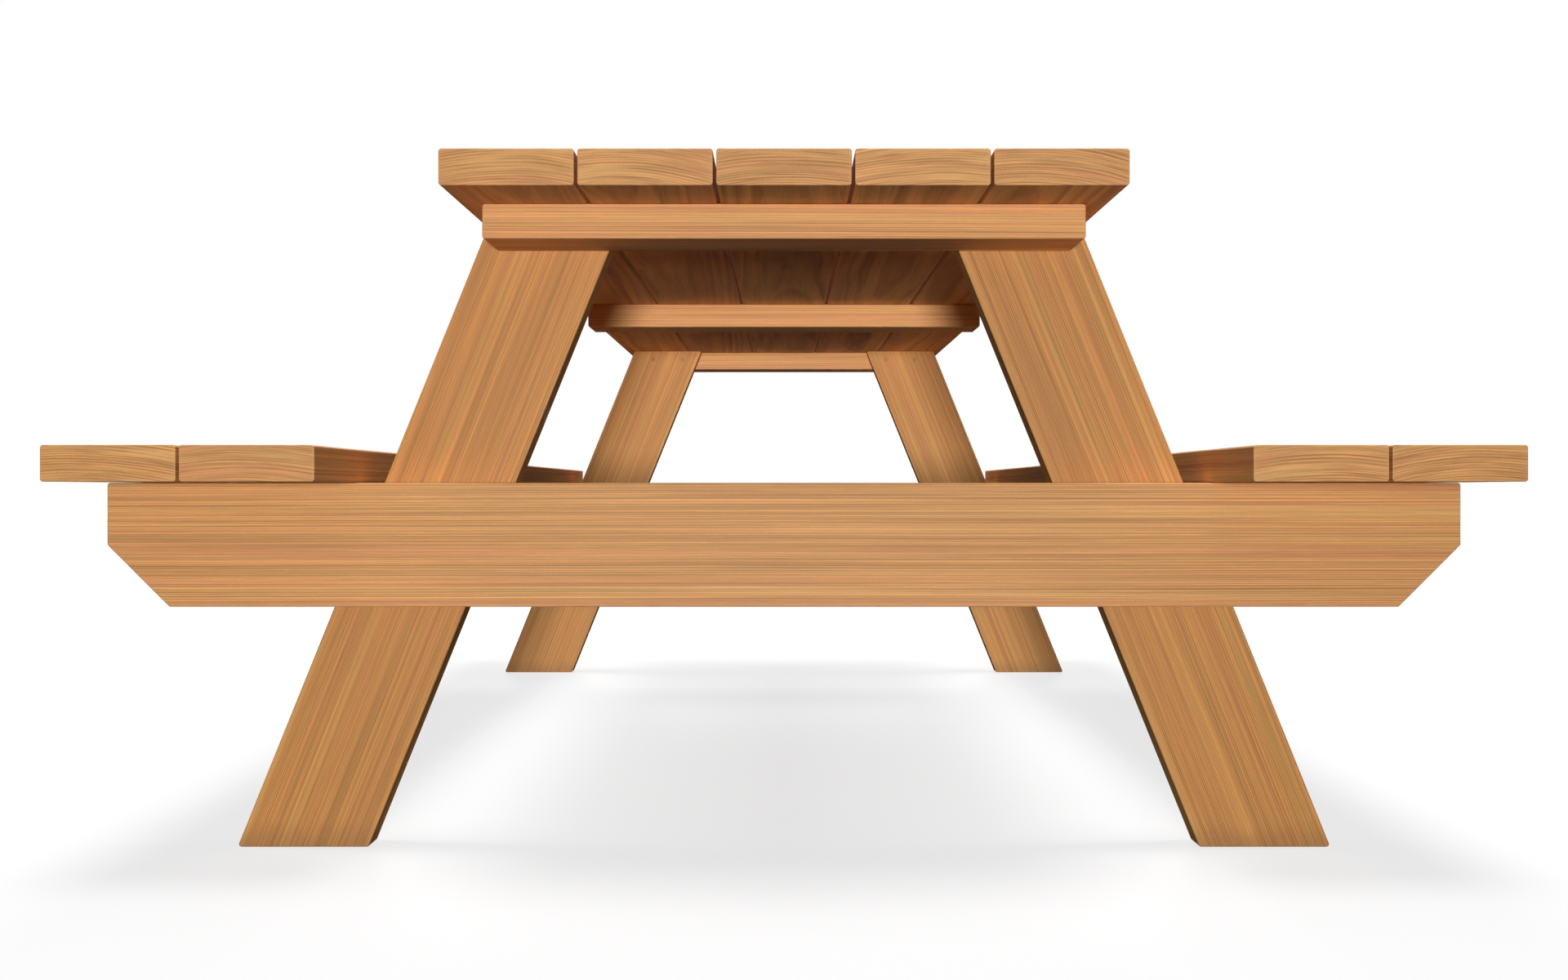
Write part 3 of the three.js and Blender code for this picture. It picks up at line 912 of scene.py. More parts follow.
def deck_screw_tree(pin: Sheet) -> Sheet:
    """Countersunk screws with a star recess and a thread, one at every point.

    Args:
        pin: The turned pin group.

    Returns:
        The tree. Sink is how far a head's face lies below its point.
    """
    own_sizes = {
        "Sink": 0.5 * MM,
        "Recess Radius": 2.2 * MM,
        "Recess Depth": 2.0 * MM,
        "Thread Depth": 0.6 * MM,
        "Thread Pitch": 2.8 * MM,
        "Thread Length": 40.0 * MM,
    }
    sheet = geometry_group("deck_screws", PIN_SIZES | own_sizes)
    given = sheet.given.outputs
    inputs = {name: given[name] for name in PIN_SIZES} | {"Sides": SCREW_SIDES}
    blank = grouped(sheet, pin, inputs).outputs[0]
    inputs = {
        "Points": STAR_POINTS,
        "Inner Radius": sheet.math("MULTIPLY", given["Recess Radius"], STAR_WAIST),
        "Outer Radius": given["Recess Radius"],
    }
    star = filleted(sheet, sheet.made("GeometryNodeCurveStar", inputs), 2, STAR_ROUNDING)
    bottom = sheet.upright(sheet.math("MULTIPLY", given["Recess Depth"], -1.0))
    line = sheet.made("GeometryNodeCurvePrimitiveLine", {"Start": (0.0, 0.0, MM), "End": bottom})
    cut = boolean(sheet, "DIFFERENCE", threaded(sheet, blank), swept(sheet, line, star))
    screw = moved(sheet, welded(sheet, cut, SLIVER_WELD), sheet.math("MULTIPLY", given["Sink"], -1.0))
    finish_tree(sheet, set_out(sheet, given["Geometry"], screw, spin_seed=2))
    return sheet


def lag_screw_tree(pin: Sheet) -> Sheet:
    """Hexagon-headed lag screws with chamfered heads and threads, one at every point.

    Args:
        pin: The turned pin group.

    Returns:
        The tree. Stand is how far a head's underside lies above its point.
    """
    sheet = geometry_group(
        "lag_screws",
        {
            "Across Flats": 14.3 * MM,
            "Head Height": 6.4 * MM,
            "Shank Radius": 4.7 * MM,
            "Length": 63.5 * MM,
            "Tip": 9.0 * MM,
            "Stand": 0.0,
            "Thread Depth": 0.9 * MM,
            "Thread Pitch": 3.6 * MM,
            "Thread Length": 36.0 * MM,
        },
    )
    given = sheet.given.outputs
    height, flats = given["Head Height"], given["Across Flats"]
    corner = sheet.math("DIVIDE", flats, math.sqrt(3.0))
    prism = sheet.made("GeometryNodeMeshCylinder", {"Vertices": 6, "Radius": corner, "Depth": height})
    prism = moved(sheet, prism, sheet.math("MULTIPLY", height, 0.5))
    # The cone cuts the head's corners, and runs past both its faces so that none coincide.
    inputs = {
        "Vertices": ROUND_SIDES,
        "Radius Top": sheet.math("MULTIPLY", flats, CHAMFER_TOP),
        "Radius Bottom": sheet.math("MULTIPLY", corner, CHAMFER_BOTTOM),
        "Depth": sheet.math("ADD", height, 2 * CHAMFER_OVERRUN),
    }
    chamfer = moved(sheet, sheet.made("GeometryNodeMeshCone", inputs), -CHAMFER_OVERRUN)
    head = boolean(sheet, "INTERSECT", prism, chamfer)
    inputs = {
        "Head Radius": given["Shank Radius"],
        "Rim": MM,
        "Cone": MM,
        "Shank Radius": given["Shank Radius"],
        "Length": sheet.math("ADD", given["Length"], MM),
        "Tip": given["Tip"],
        "Sides": SCREW_SIDES,
    }
    shank = moved(sheet, grouped(sheet, pin, inputs).outputs[0], MM)
    whole = welded(sheet, boolean(sheet, "UNION", threaded(sheet, shank), head), SLIVER_WELD)
    screws = set_out(sheet, given["Geometry"], moved(sheet, whole, given["Stand"]), spin_seed=3)
    finish_tree(sheet, screws, sharp_angle=18.0)
    return sheet


def washer_tree() -> Sheet:
    """Flat washers with softened rims, one at every point.

    Returns:
        The tree. Stand is how far a washer's underside lies above its point.
    """
    sheet = geometry_group(
        "washers",
        {"Outer Radius": 12.5 * MM, "Bore Radius": 5.0 * MM, "Thickness": 1.8 * MM, "Stand": 0.0},
    )
    given = sheet.given.outputs
    outer, bore, thickness = given["Outer Radius"], given["Bore Radius"], given["Thickness"]
    middle = sheet.math("MULTIPLY", sheet.math("ADD", outer, bore), 0.5)
    ring = sheet.made("GeometryNodeCurvePrimitiveCircle", {"Resolution": ROUND_SIDES, "Radius": middle})
    inputs = {"Width": sheet.math("SUBTRACT", outer, bore), "Height": thickness}
    strip = sheet.made("GeometryNodeCurvePrimitiveQuadrilateral", inputs)
    strip = filleted(sheet, strip, ROUNDING_STEPS, WASHER_ROUNDING)
    rise = sheet.math("MULTIPLY_ADD", thickness, 0.5, given["Stand"])
    washer = moved(sheet, swept(sheet, ring, strip, caps=False), rise)
    finish_tree(sheet, set_out(sheet, given["Geometry"], washer, spin_seed=4))
    return sheet


class Workshop:
    """The node trees and the finishes, each made once and used by every piece."""

    def __init__(self) -> None:
        """Makes the trees and the finishes."""
        pin = turned_pin_group()
        self.timber = timber_tree()
        self.drilling = drilling_tree(pin)
        self.deck_screws = deck_screw_tree(pin)
        self.lag_screws = lag_screw_tree(pin)
        self.washers = washer_tree()
        self.finishes = make_finishes()


# ---- Making pieces ------------------------------------------------------------


def new_object(name: str, mesh: bpy.types.Mesh) -> bpy.types.Object:
    """A mesh object at the origin, in the scene.

    Args:
        name: The object's name.
        mesh: Its mesh.

    Returns:
        The object.
    """
    made = bpy.data.objects.new(name, mesh)
    bpy.context.scene.collection.objects.link(made)
    return made


def add_tree(piece: bpy.types.Object, sheet: Sheet, values: dict[str, Any]) -> None:
    """Puts a geometry node tree on a piece, with its inputs set by their identifiers.

    Args:
        piece: The piece.
        sheet: The tree's sheet.
        values: Input name to value.
    """
    modifier = piece.modifiers.new(sheet.tree.name, "NODES")
    modifier.node_group = sheet.tree
    items = sheet.tree.interface.items_tree
    identifiers = {item.name: item.identifier for item in items if item.in_out == "INPUT"}
    for name, value in values.items():
        modifier[identifiers[name]] = value


def settle(piece: bpy.types.Object) -> bpy.types.Mesh:
    """Turns a piece's evaluated result into its own plain mesh and removes its modifiers.

    Args:
        piece: The object whose modifiers make its shape.

    Returns:
        The plain mesh, which the piece now has.
    """
    graph = bpy.context.evaluated_depsgraph_get()
    mesh = bpy.data.meshes.new_from_object(piece.evaluated_get(graph), depsgraph=graph)
    mesh.name = piece.name
    piece.modifiers.clear()
    piece.data = mesh
    return mesh


def report(piece: bpy.types.Object) -> None:
    """Logs a finished piece with its triangles, its volume and whether it is closed.

    Args:
        piece: The piece.
    """
    shape = bmesh.new()
    shape.from_mesh(piece.data)
    triangles = sum(len(face.verts) - 2 for face in shape.faces)
    closed = all(edge.is_manifold for edge in shape.edges)
    volume = shape.calc_volume(signed=True) / CUBIC_CENTIMETRE
    shape.free()
    LOG.info("%s: %d triangles, closed %s, %.1f cm3", piece.name, triangles, closed, volume)


@dataclass(frozen=True)
class Grain:
    """Where a board's pith lies from its middle, and how it drifts along the board."""

    pith_across: float
    pith_through: float
    drift_across: float
    drift_through: float

    @classmethod
    def of(cls, sawing: Sawing, node: str) -> Grain:
        """The grain of one board, the same every time for its name.

        A flat-sawn board has its pith below it, so its ends show shallow arcs. A
        quarter-sawn one has it far to one side, so its faces show straight lines.

        Args:
            sawing: How the board was cut.
            node: Its CAD node's name.

        Returns:
            The grain.
        """
        chance = random.Random(node)
        if sawing is Sawing.FLAT:
            drift = 0.006
            pith = (chance.uniform(-0.04, 0.04), -chance.uniform(0.30, 0.50))
        else:
            drift = 0.004
            side = chance.choice((-1, 1))
            pith = (side * chance.uniform(0.22, 0.32), chance.uniform(-0.05, 0.05))
        return cls(*pith, chance.uniform(-drift, drift), chance.uniform(-drift, drift))


@dataclass
class Timber:
    """One board: an outline in the XZ plane, swept along Y, with its grain along a direction.

    Outline corners run counter-clockwise in X and Z. Ease rounds the rims at
    both ends of the sweep, and hollow is how deep the faces wander. Level ends
    is true where the ends are cut square to Z and not to the grain.
    """

    name: str
    node: str
    outline: list[tuple[float, float]]
    start: float
    end: float
    along: Vector
    across: Vector
    sawing: Sawing
    finish: Finish
    drilled_for: list[DeckScrews | LagScrews]
    corner_radius: float = INCH / 8
    ease: float = INCH / 16
    ease_steps: int = 4
    rim_angle: float = math.radians(50)
    stations: int = 2
    hollow: float = 0.0
    level_ends: bool = False

    def build(self, shop: Workshop) -> bpy.types.Object:
        """Makes the board, drills it and dresses it.

        Args:
            shop: The trees and the finishes.

        Returns:
            The finished piece.
        """
        mesh = bpy.data.meshes.new(self.name)
        count = len(self.outline)
        corners = [(x, 0.0, z) for x, z in self.outline]
        mesh.from_pydata(corners, [(i, (i + 1) % count) for i in range(count)], [])
        piece = new_object(self.name, mesh)
        chance = random.Random(self.name)
        material = shop.finishes[self.finish]
        sizes = {
            "Start": self.start,
            "End": self.end,
            "Corner Radius": self.corner_radius,
            "Stations": self.stations,
            "Hollow": self.hollow,
            "Seed": chance.uniform(0.0, 50.0),
            "Material": material,
        }
        add_tree(piece, shop.timber, sizes)
        bevel = piece.modifiers.new("eased_rims", "BEVEL")
        bevel.width = self.ease
        bevel.segments = self.ease_steps
        bevel.limit_method = "ANGLE"
        bevel.angle_limit = self.rim_angle
        for fasteners in self.drilled_for:
            add_tree(piece, shop.drilling, fasteners.drilling() | {"Material": material})
        self.dress(settle(piece), chance)
        piece.modifiers.new("flat_faces", "WEIGHTED_NORMAL").keep_sharp = True
        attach(piece, BODY)
        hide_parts(self.node)
        return piece

    def dress(self, mesh: bpy.types.Mesh, chance: random.Random) -> None:
        """Writes the attributes that the wood's finish reads.

        Args:
            mesh: The board's final mesh.
            chance: The board's own random numbers.
        """
        count = len(mesh.vertices)
        places = np.empty(count * 3, np.float32)
        mesh.vertices.foreach_get("co", places)
        places = places.reshape(-1, 3).astype(float)
        places -= (places.min(0) + places.max(0)) / 2
        local = places @ np.array([self.along, self.across, self.along.cross(self.across)]).T
        length, across, through = local.T
        pith = Grain.of(self.sawing, self.node)
        place_in_log = chance.uniform(0.0, 40.0)
        grain_place = np.stack(
            [
                length + place_in_log,
                across - pith.pith_across + length * pith.drift_across,
                through - pith.pith_through + length * pith.drift_through,
            ],
            axis=1,
        )
        if self.level_ends:
            local[:, 0] = places @ np.array(Z_AXIS)
        half = np.broadcast_to(np.abs(local).max(0), local.shape)
        for name, values in ((GRAIN_PLACE, grain_place), (EDGE_PLACE, local), (EDGE_HALF, half)):
            attribute = mesh.attributes.new(name, "FLOAT_VECTOR", "POINT")
            attribute.data.foreach_set("vector", np.ascontiguousarray(values, np.float32).ravel())
        # A face is side grain up to one slope against the board, and end grain from another.
        side_slope, end_slope = 0.55, 0.90
        slopes = np.abs(np.array([face.normal for face in mesh.polygons]) @ np.array(self.along))
        end_grain = np.clip((slopes - side_slope) / (end_slope - side_slope), 0.0, 1.0)
        tone = np.full(count, chance.random())
        for name, values, domain in ((BOARD_TONE, tone, "POINT"), (END_GRAIN, end_grain, "FACE")):
            attribute = mesh.attributes.new(name, "FLOAT", domain)
            attribute.data.foreach_set("value", values.astype(np.float32))


@dataclass
class Fasteners:
    """A set of like fasteners, made as one piece.

    Places are points on the timber's face, facing is the way that the heads
    face, and nodes are the CAD nodes that the piece stands for. The points
    object holds the places until the fasteners grow on it.
    """

    name: str
    places: list[Vector]
    facing: Vector
    nodes: list[str]
    points: bpy.types.Object = field(init=False)

    def __post_init__(self) -> None:
        """Makes the object whose points are the places."""
        mesh = bpy.data.meshes.new(self.name)
        mesh.from_pydata(self.places, [], [])
        attribute = mesh.attributes.new(FACING, "FLOAT_VECTOR", "POINT")
        ways = np.array([self.facing] * len(self.places), np.float32)
        attribute.data.foreach_set("vector", ways.ravel())
        self.points = new_object(self.name, mesh)

    def grown(
        self, sheet: Sheet, sizes: dict[str, float], finish: Finish, shop: Workshop
    ) -> bpy.types.Object:
        """Grows a tree on the places and makes the result one plain piece.

        Args:
            sheet: The fastener's tree.
            sizes: The tree's inputs but for its material.
            finish: The fasteners' finish.
            shop: The trees and the finishes.

        Returns:
            The finished piece.
        """
        piece = self.points
        add_tree(piece, sheet, sizes | {"Material": shop.finishes[finish]})
        settle(piece)
        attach(piece, BODY)
        if self.nodes:
            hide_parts(*self.nodes)
        return piece


@dataclass
class DeckScrews(Fasteners):
    """Countersunk screws with star recesses, driven just below the timber's face."""

    length: float
    head_radius: float = 4.7 * MM
    rim: float = 0.6 * MM
    cone: float = 3.0 * MM
    shank_radius: float = 2.4 * MM
    sink: float = 0.5 * MM
    tip: float = 7.0 * MM
    thread_share: float = 0.6
    clearance: float = CLEARANCE

    def drilling(self) -> dict[str, Any]:
        """Clearance holes with countersinks.

        Returns:
            The drilling tree's inputs, but for its material.
        """
        return {
            "Places": self.points,
            "Head Radius": self.head_radius + self.clearance,
            "Countersink": self.sink + self.rim + self.clearance,
            "Cone": self.cone,
            "Bore Radius": self.shank_radius + self.clearance,
            "Depth": self.length + self.sink + self.clearance,
        }

    def build(self, shop: Workshop) -> bpy.types.Object:
        """Makes the screws.

        Args:
            shop: The trees and the finishes.

        Returns:
            The finished piece.
        """
        sizes = {
            "Head Radius": self.head_radius,
            "Rim": self.rim,
            "Cone": self.cone,
            "Shank Radius": self.shank_radius,
            "Length": self.length,
            "Tip": self.tip,
            "Sink": self.sink,
            "Thread Length": self.length * self.thread_share,
        }
        return self.grown(shop.deck_screws, sizes, Finish.COATED, shop)


@dataclass
class Washers(Fasteners):
    """The flat washers under the lag screws' heads."""

    outer_radius: float = 12.5 * MM
    bore_radius: float = 5.0 * MM
    thickness: float = 1.8 * MM
    clearance: float = CLEARANCE

    def build(self, shop: Workshop) -> bpy.types.Object:
        """Makes the washers.

        Args:
            shop: The trees and the finishes.

        Returns:
            The finished piece.
        """
        sizes = {
            "Outer Radius": self.outer_radius,
            "Bore Radius": self.bore_radius,
            "Thickness": self.thickness,
            "Stand": self.clearance,
        }
        return self.grown(shop.washers, sizes, Finish.ZINC, shop)


@dataclass
class LagScrews(Fasteners):
    """Hexagon-headed lag screws on washers, through a leg into a rail."""

    shank_radius: float = 4.7 * MM
    across_flats: float = 14.3 * MM
    head_height: float = 6.4 * MM
    length: float = 2.5 * INCH
    washer_thickness: float = Washers.thickness
    clearance: float = CLEARANCE

    def drilling(self) -> dict[str, Any]:
        """Plain clearance holes.

        Returns:
            The drilling tree's inputs, but for its material.
        """
        bore = self.shank_radius + self.clearance
        return {
            "Places": self.points,
            "Head Radius": bore,
            "Countersink": self.clearance,
            "Cone": MM,
            "Bore Radius": bore,
            "Depth": self.length - self.washer_thickness,
        }

    def build(self, shop: Workshop) -> bpy.types.Object:
        """Makes the lag screws.

        Args:
            shop: The trees and the finishes.

        Returns:
            The finished piece.
        """
        sizes = {
            "Across Flats": self.across_flats,
            "Head Height": self.head_height,
            "Shank Radius": self.shank_radius,
            "Length": self.length,
            "Stand": self.washer_thickness + 2 * self.clearance,
        }
        return self.grown(shop.lag_screws, sizes, Finish.ZINC, shop)


def rectangle(low: Vector, high: Vector) -> list[tuple[float, float]]:
    """The outline of a box seen along Y, counter-clockwise."""
    return [(low.x, low.z), (high.x, low.z), (high.x, high.z), (low.x, high.z)]


def plank(name: str, node: str, screws: DeckScrews) -> Timber:
    """A flat-sawn plank along Y, from its CAD box.

    Args:
        name: The piece's name.
        node: The CAD node that it stands for.
        screws: The screws that it is drilled for.

    Returns:
        The plank.
    """
    low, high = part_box(node)
    return Timber(
        name=name,
        node=node,
        outline=rectangle(low, high),
        start=low.y,
        end=high.y,
        along=Y_AXIS,
        across=-X_AXIS,
        sawing=Sawing.FLAT,
        finish=Finish.PLANK,
        drilled_for=[screws],
        ease=MM,
        stations=48,
        hollow=0.4 * MM,
    )


def crosspiece(
    name: str,
    node: str,
    drilled_for: list[DeckScrews | LagScrews],
    outline: list[tuple[float, float]] | None = None,
) -> Timber:
    """A quarter-sawn board along X, from its CAD box.

    Args:
        name: The piece's name.
        node: The CAD node that it stands for.
        drilled_for: The screws that it is drilled for.
        outline: Its outline, where that isn't the box's.

    Returns:
        The board.
    """
    low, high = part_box(node)
    return Timber(
        name=name,
        node=node,
        outline=outline or rectangle(low, high),
        start=low.y,
        end=high.y,
        along=X_AXIS,
        across=Z_AXIS,
        sawing=Sawing.QUARTER,
        finish=Finish.RAIL,
        drilled_for=drilled_for,
    )


# ---- Sub-assemblies -----------------------------------------------------------


@dataclass
class TableTop:
    """The planks of the top, screwed down to the middle cleat and to the end frames' cleats."""

    plank_count: int = 5
    screw_edge: float = 1.5 * INCH
    screw_length: float = 2.5 * INCH
    cleats: tuple[str, ...] = ("top_cleat_front", "top_cleat_middle", "top_cleat_rear")
    screws: DeckScrews = field(init=False)

    def __post_init__(self) -> None:
        """Sets out two screws across every plank over every cleat."""
        places = []
        for number in range(1, self.plank_count + 1):
            low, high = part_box(f"top_plank_{number}")
            for node in self.cleats:
                first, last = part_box(node)
                middle = (first.y + last.y) / 2
                for x in (low.x + self.screw_edge, high.x - self.screw_edge):
                    places.append(Vector((x, middle, high.z)))
        self.screws = DeckScrews("top_plank_screws", places, Z_AXIS, [], self.screw_length)

    def build(self, shop: Workshop) -> list[bpy.types.Object]:
        """Makes the planks, the middle cleat and the screws.

        Args:
            shop: The trees and the finishes.

        Returns:
            The finished pieces.
        """
        timbers = [
            plank(f"top_board_{number}", f"top_plank_{number}", self.screws)
            for number in range(1, self.plank_count + 1)
        ]
        timbers.append(crosspiece("middle_cleat_timber", "top_cleat_middle", [self.screws]))
        return [made.build(shop) for made in (*timbers, self.screws)]


@dataclass
class Seats:
    """Two planks a side, screwed down to the seat rails."""

    rows: tuple[str, ...] = ("inner", "outer")
    screw_length: float = 3.0 * INCH
    screw_sink: float = DeckScrews.sink
    screws: DeckScrews = field(init=False)

    def __post_init__(self) -> None:
        """Sets out the screws where the frame has them."""
        nodes = sorted(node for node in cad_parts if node.startswith("seat_screw_"))
        places = []
        for node in nodes:
            low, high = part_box(node)
            middle = (low + high) / 2
            places.append(Vector((middle.x, middle.y, high.z + self.screw_sink)))
        self.screws = DeckScrews("seat_screws", places, Z_AXIS, nodes, self.screw_length)

    def build(self, shop: Workshop) -> list[bpy.types.Object]:
        """Makes the planks and the screws.

        Args:
            shop: The trees and the finishes.

        Returns:
            The finished pieces.
        """
        planks = []
        for side in Side:
            for row in self.rows:
                place = f"{side.name.lower()}_{row}"
                planks.append(plank(f"seat_board_{place}", f"seat_plank_{place}", self.screws))
        return [made.build(shop) for made in (*planks, self.screws)]


@dataclass
class EndFrame:
    """An A-shaped end frame: two leaning legs, a seat rail, a cleat and their screws.

    The top's screws end in its cleat, and the seats' screws in its rail.
    """

    end: End
    top_screws: DeckScrews
    seat_screws: DeckScrews
    leg_width: float = 5.5 * INCH
    leg_lean: float = math.radians(22)
    rail_clip: float = 2.75 * INCH
    leg_screw_length: float = 3.0 * INCH
    leg_screws: DeckScrews = field(init=False)
    lag_screws: LagScrews = field(init=False)
    washers: Washers = field(init=False)

    def __post_init__(self) -> None:
        """Sets out the frame's own screws and washers."""
        word = self.end.name.lower()
        facing = Y_AXIS * self.end.value
        nodes = self.nodes("leg_screw")
        places = self.head_places(nodes, DeckScrews.sink)
        self.leg_screws = DeckScrews(f"leg_screws_{word}", places, facing, nodes, self.leg_screw_length)
        nodes = self.nodes("washer")
        places = self.head_places(nodes, -(Washers.thickness + Washers.clearance))
        self.lag_screws = LagScrews(f"lag_screws_{word}", places, facing, self.nodes("lag_screw"))
        self.washers = Washers(f"lag_washers_{word}", places, facing, nodes)

    def nodes(self, kind: str) -> list[str]:
        """The CAD nodes of one kind of fastener at this end."""
        start = f"{kind}_{self.end.name.lower()}_"
        return sorted(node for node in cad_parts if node.startswith(start))

    def head_places(self, nodes: list[str], sink: float) -> list[Vector]:
        """The points on the legs' inner faces over fasteners.

        Args:
            nodes: The fasteners' CAD nodes.
            sink: How far their ends lie below the leg's face.

        Returns:
            A point for each.
        """
        places = []
        for node in nodes:
            low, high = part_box(node)
            middle = (low + high) / 2
            inner = high.y if self.end is End.FRONT else low.y
            places.append(Vector((middle.x, inner + self.end.value * sink, middle.z)))
        return places

    def rail(self) -> Timber:
        """The seat rail on edge, its lower corners clipped at 45 degrees.

        Returns:
            The rail.
        """
        word = self.end.name.lower()
        node = f"seat_rail_{word}"
        low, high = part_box(node)
        clip = self.rail_clip
        outline = [
            (low.x + clip, low.z),
            (high.x - clip, low.z),
            (high.x, low.z + clip),
            (high.x, high.z),
            (low.x, high.z),
            (low.x, low.z + clip),
        ]
        return crosspiece(f"rail_timber_{word}", node, [self.lag_screws, self.seat_screws], outline)

    def leg(self, side: Side) -> Timber:
        """A leg that leans outwards to its foot, cut level at both ends.

        Args:
            side: The leg's side of the table.

        Returns:
            The leg.
        """
        place = f"{self.end.name.lower()}_{side.name.lower()}"
        node = f"leg_{place}"
        low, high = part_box(node)
        middle = (low.x + high.x) / 2
        slice_width = side.value * self.leg_width / math.cos(self.leg_lean)
        reach = (slice_width + side.value * (high.z - low.z) * math.tan(self.leg_lean)) / 2
        foot, head = middle + reach, middle - reach
        outline = [(foot - slice_width, low.z), (foot, low.z), (head + slice_width, high.z), (head, high.z)]
        if side is Side.LEFT:
            outline.reverse()
        along = Vector((-side.value * math.sin(self.leg_lean), 0, math.cos(self.leg_lean)))
        return Timber(
            name=f"leg_timber_{place}",
            node=node,
            outline=outline,
            start=low.y,
            end=high.y,
            along=along,
            across=along.cross(Y_AXIS),
            sawing=Sawing.QUARTER,
            finish=Finish.LEG,
            drilled_for=[self.lag_screws, self.leg_screws],
            level_ends=True,
        )

    def cleat(self) -> Timber:
        """The cleat under the top's planks, between the legs' heads."""
        word = self.end.name.lower()
        return crosspiece(f"cleat_timber_{word}", f"top_cleat_{word}", [self.top_screws, self.leg_screws])

    def build(self, shop: Workshop) -> list[bpy.types.Object]:
        """Makes the frame's timbers and fasteners.

        Args:
            shop: The trees and the finishes.

        Returns:
            The finished pieces.
        """
        timbers = [self.leg(side) for side in Side] + [self.rail(), self.cleat()]
        fasteners = (self.leg_screws, self.lag_screws, self.washers)
        return [made.build(shop) for made in (*timbers, *fasteners)]


# ---- Studio -------------------------------------------------------------------


@dataclass(frozen=True)
class Sun:
    """A distant light: where it shines from, its strength, and its width in degrees."""

    name: str
    place: tuple[float, float, float]
    strength: float
    width: float


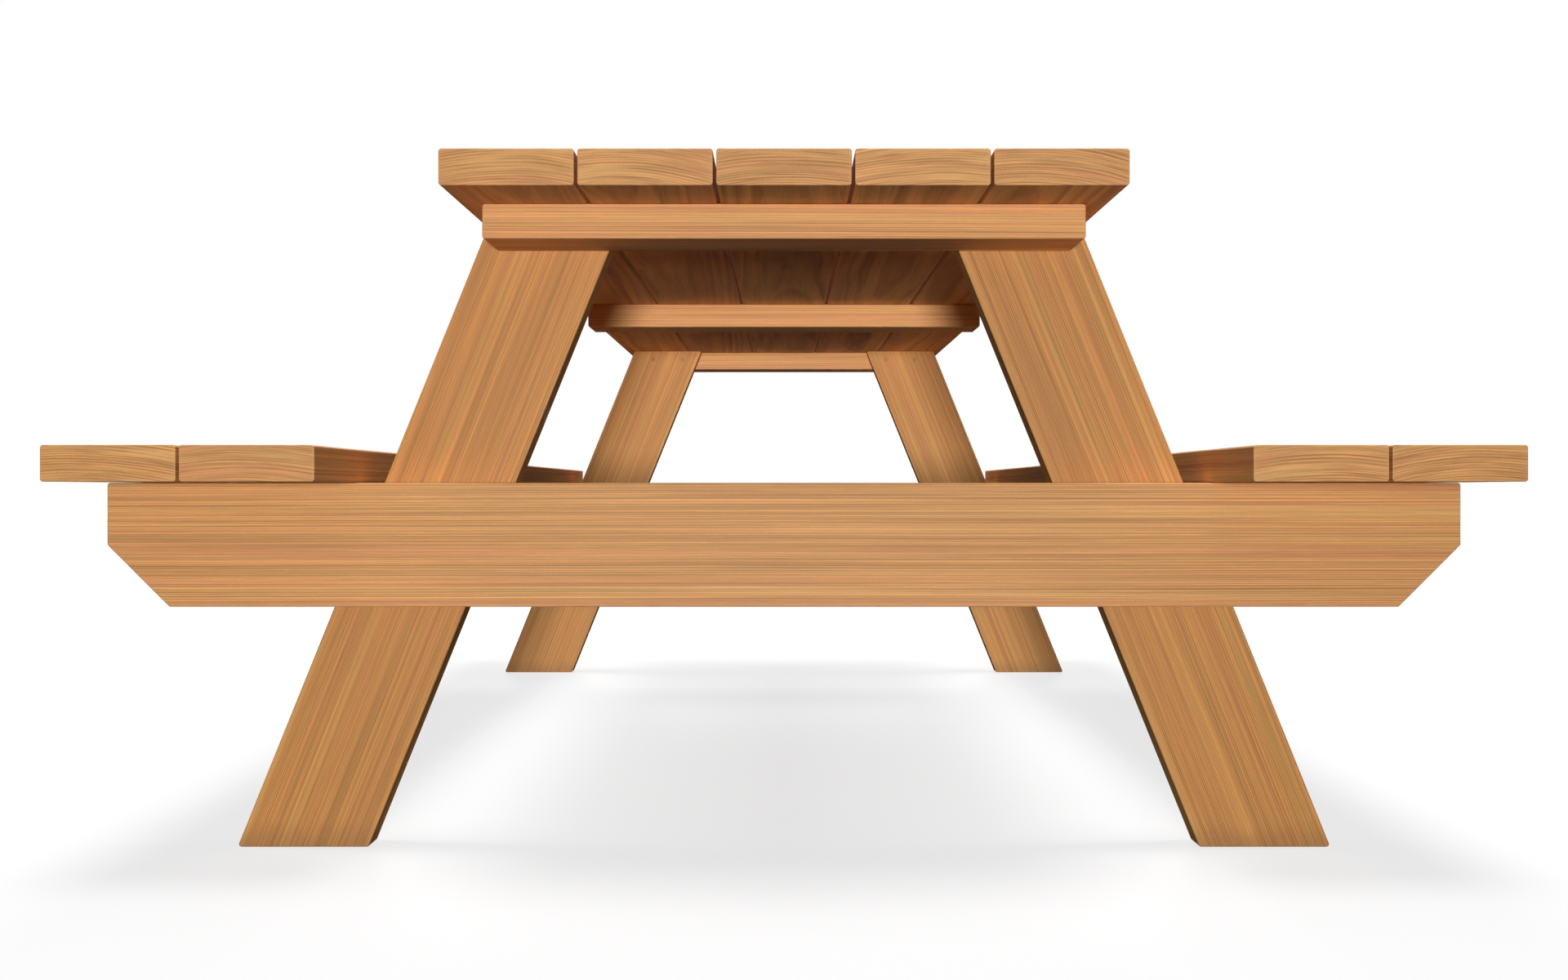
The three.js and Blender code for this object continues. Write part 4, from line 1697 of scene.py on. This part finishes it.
@dataclass
class Studio:
    """A pale floor, soft even light and a level camera square to the front end, low down.

    The floor and the sky look white, and send little light back at the table.
    """

    stand_off: float = 1.5969
    eye_height: float = 0.4107
    lens: float = 35.68
    sensor: float = 36.0
    far_clip: float = 200.0
    floor_radius: float = 60.0
    floor_drop: float = 0.2 * MM
    floor_roughness: float = 0.9
    floor_glow: float = 0.72
    floor_pale: tuple[float, float] = (0.260, 0.275)
    floor_bounce: Colour = (0.022, 0.027, 0.038, 1.0)
    sky_tint: Colour = (0.86, 0.95, 1.10, 1.0)
    sky_strength: float = 0.08
    softbox_width: float = 0.36
    front_softbox_gap: float = 1.9
    front_strength: float = 7.8
    back_strength: float = 3.0
    back_place: tuple[float, float, float] = (0.0, 5.2, 0.7)
    aim: tuple[float, float, float] = (0.0, 0.0, 0.4)
    suns: tuple[Sun, ...] = (
        Sun("overhead_light", (0.0, -0.1, 5.0), 1.6, 18),
        Sun("back_light", (0.0, 4.0, 3.2), 1.3, 14),
        Sun("left_light", (-4.0, 0.6, 3.4), 0.7, 16),
        Sun("right_light", (4.0, 0.6, 3.4), 0.7, 16),
    )

    def camera(self) -> None:
        """Sets up a level camera on the table's middle line."""
        data = bpy.data.cameras.new("studio_camera")
        data.lens = self.lens
        data.sensor_width = self.sensor
        data.clip_end = self.far_clip
        camera = bpy.data.objects.new("studio_camera", data)
        camera.location = (0.0, cad_box[0].y - self.stand_off, self.eye_height)
        camera.rotation_euler = (math.pi / 2, 0.0, 0.0)
        bpy.context.scene.collection.objects.link(camera)
        bpy.context.scene.camera = camera

    def floor(self) -> None:
        """Lays a wide round floor."""
        mesh = bpy.data.meshes.new("studio_floor")
        shape = bmesh.new()
        bmesh.ops.create_circle(shape, cap_ends=True, segments=96, radius=self.floor_radius)
        shape.to_mesh(mesh)
        shape.free()
        floor = new_object("studio_floor", mesh)
        floor.location.z = -self.floor_drop
        material, sheet, shader = new_material("studio_floor")
        place = sheet.add("ShaderNodeTexCoord").outputs["Object"]
        cloud = sheet.noise(place, scale=1.5, detail=3.0)
        dim, bright = ((grey, grey, grey, 1.0) for grey in self.floor_pale)
        seen = sheet.add("ShaderNodeLightPath").outputs["Is Camera Ray"]
        sheet.put(shader, "Base Color", sheet.mix(seen, self.floor_bounce, sheet.mix(cloud, dim, bright)))
        sheet.put(shader, "Roughness", self.floor_roughness)
        sheet.put(shader, "Specular IOR Level", 0.0)
        sheet.put(shader, "Emission Color", WHITE)
        sheet.put(shader, "Emission Strength", sheet.math("MULTIPLY", seen, self.floor_glow))
        mesh.materials.append(material)

    def lamp(self, name: str, kind: str, place: Vector, aim: Vector, strength: float) -> bpy.types.Object:
        """Hangs a lamp that is aimed at a point.

        Args:
            name: The lamp's name.
            kind: "SUN" or "AREA".
            place: Where it stands.
            aim: The point that it faces.
            strength: Its energy.

        Returns:
            The lamp.
        """
        data = bpy.data.lights.new(name, kind)
        data.energy = strength
        lamp = bpy.data.objects.new(name, data)
        lamp.location = place
        lamp.rotation_euler = (aim - place).to_track_quat("-Z", "Y").to_euler()
        lamp.visible_camera = False
        bpy.context.scene.collection.objects.link(lamp)
        return lamp

    def softbox(self, name: str, place: Vector, strength: float, glints: bool) -> None:
        """Hangs a round soft lamp whose light doesn't fade with distance, aimed at the table.

        Args:
            name: The lamp's name.
            place: Where it stands.
            strength: Its energy.
            glints: Whether it shows in what is glossy.
        """
        lamp = self.lamp(name, "AREA", place, Vector((0.0, 0.0, self.eye_height)), strength)
        lamp.visible_glossy = glints
        lamp.data.shape = "DISK"
        lamp.data.size = self.softbox_width
        lamp.data.use_nodes = True
        sheet = Sheet(lamp.data.node_tree)
        emission = next(n for n in lamp.data.node_tree.nodes if n.type == "EMISSION")
        even = sheet.add("ShaderNodeLightFalloff", {"Strength": 1.0}).outputs["Constant"]
        sheet.put(emission, "Strength", even)

    def sky(self) -> None:
        """Hangs a white surround that lights less than it shows."""
        world = bpy.data.worlds.new("studio")
        world.use_nodes = True
        sheet = Sheet(world.node_tree)
        background = next(n for n in world.node_tree.nodes if n.type == "BACKGROUND")
        seen = sheet.add("ShaderNodeLightPath").outputs["Is Camera Ray"]
        sheet.put(background, "Color", sheet.mix(seen, self.sky_tint, WHITE))
        sheet.put(background, "Strength", sheet.step(seen, 0.0, 1.0, self.sky_strength, 1.0))
        bpy.context.scene.world = world

    def build(self) -> None:
        """Sets up the camera, the floor and the light."""
        self.camera()
        self.floor()
        self.sky()
        front = cad_box[0].y - self.stand_off - self.front_softbox_gap
        place = Vector((0.0, front, self.eye_height))
        self.softbox("front_softbox", place, self.front_strength, glints=True)
        self.softbox("back_softbox", Vector(self.back_place), self.back_strength, glints=False)
        for sun in self.suns:
            lamp = self.lamp(sun.name, "SUN", Vector(sun.place), Vector(self.aim), sun.strength)
            lamp.data.angle = math.radians(sun.width)
        bpy.context.scene.view_settings.view_transform = "Standard"


def main() -> None:
    """Builds the studio and the table, sub-assembly by sub-assembly, and reports each piece."""
    logging.basicConfig(level=logging.INFO, format="%(name)s: %(message)s")
    Studio().build()
    LOG.info("studio ready")
    shop = Workshop()
    top = TableTop()
    seats = Seats()
    ends = [EndFrame(end, top.screws, seats.screws) for end in End]
    bpy.context.view_layer.update()
    for assembly in (*ends, top, seats):
        for piece in assembly.build(shop):
            report(piece)


if __name__ == "__main__":
    main()
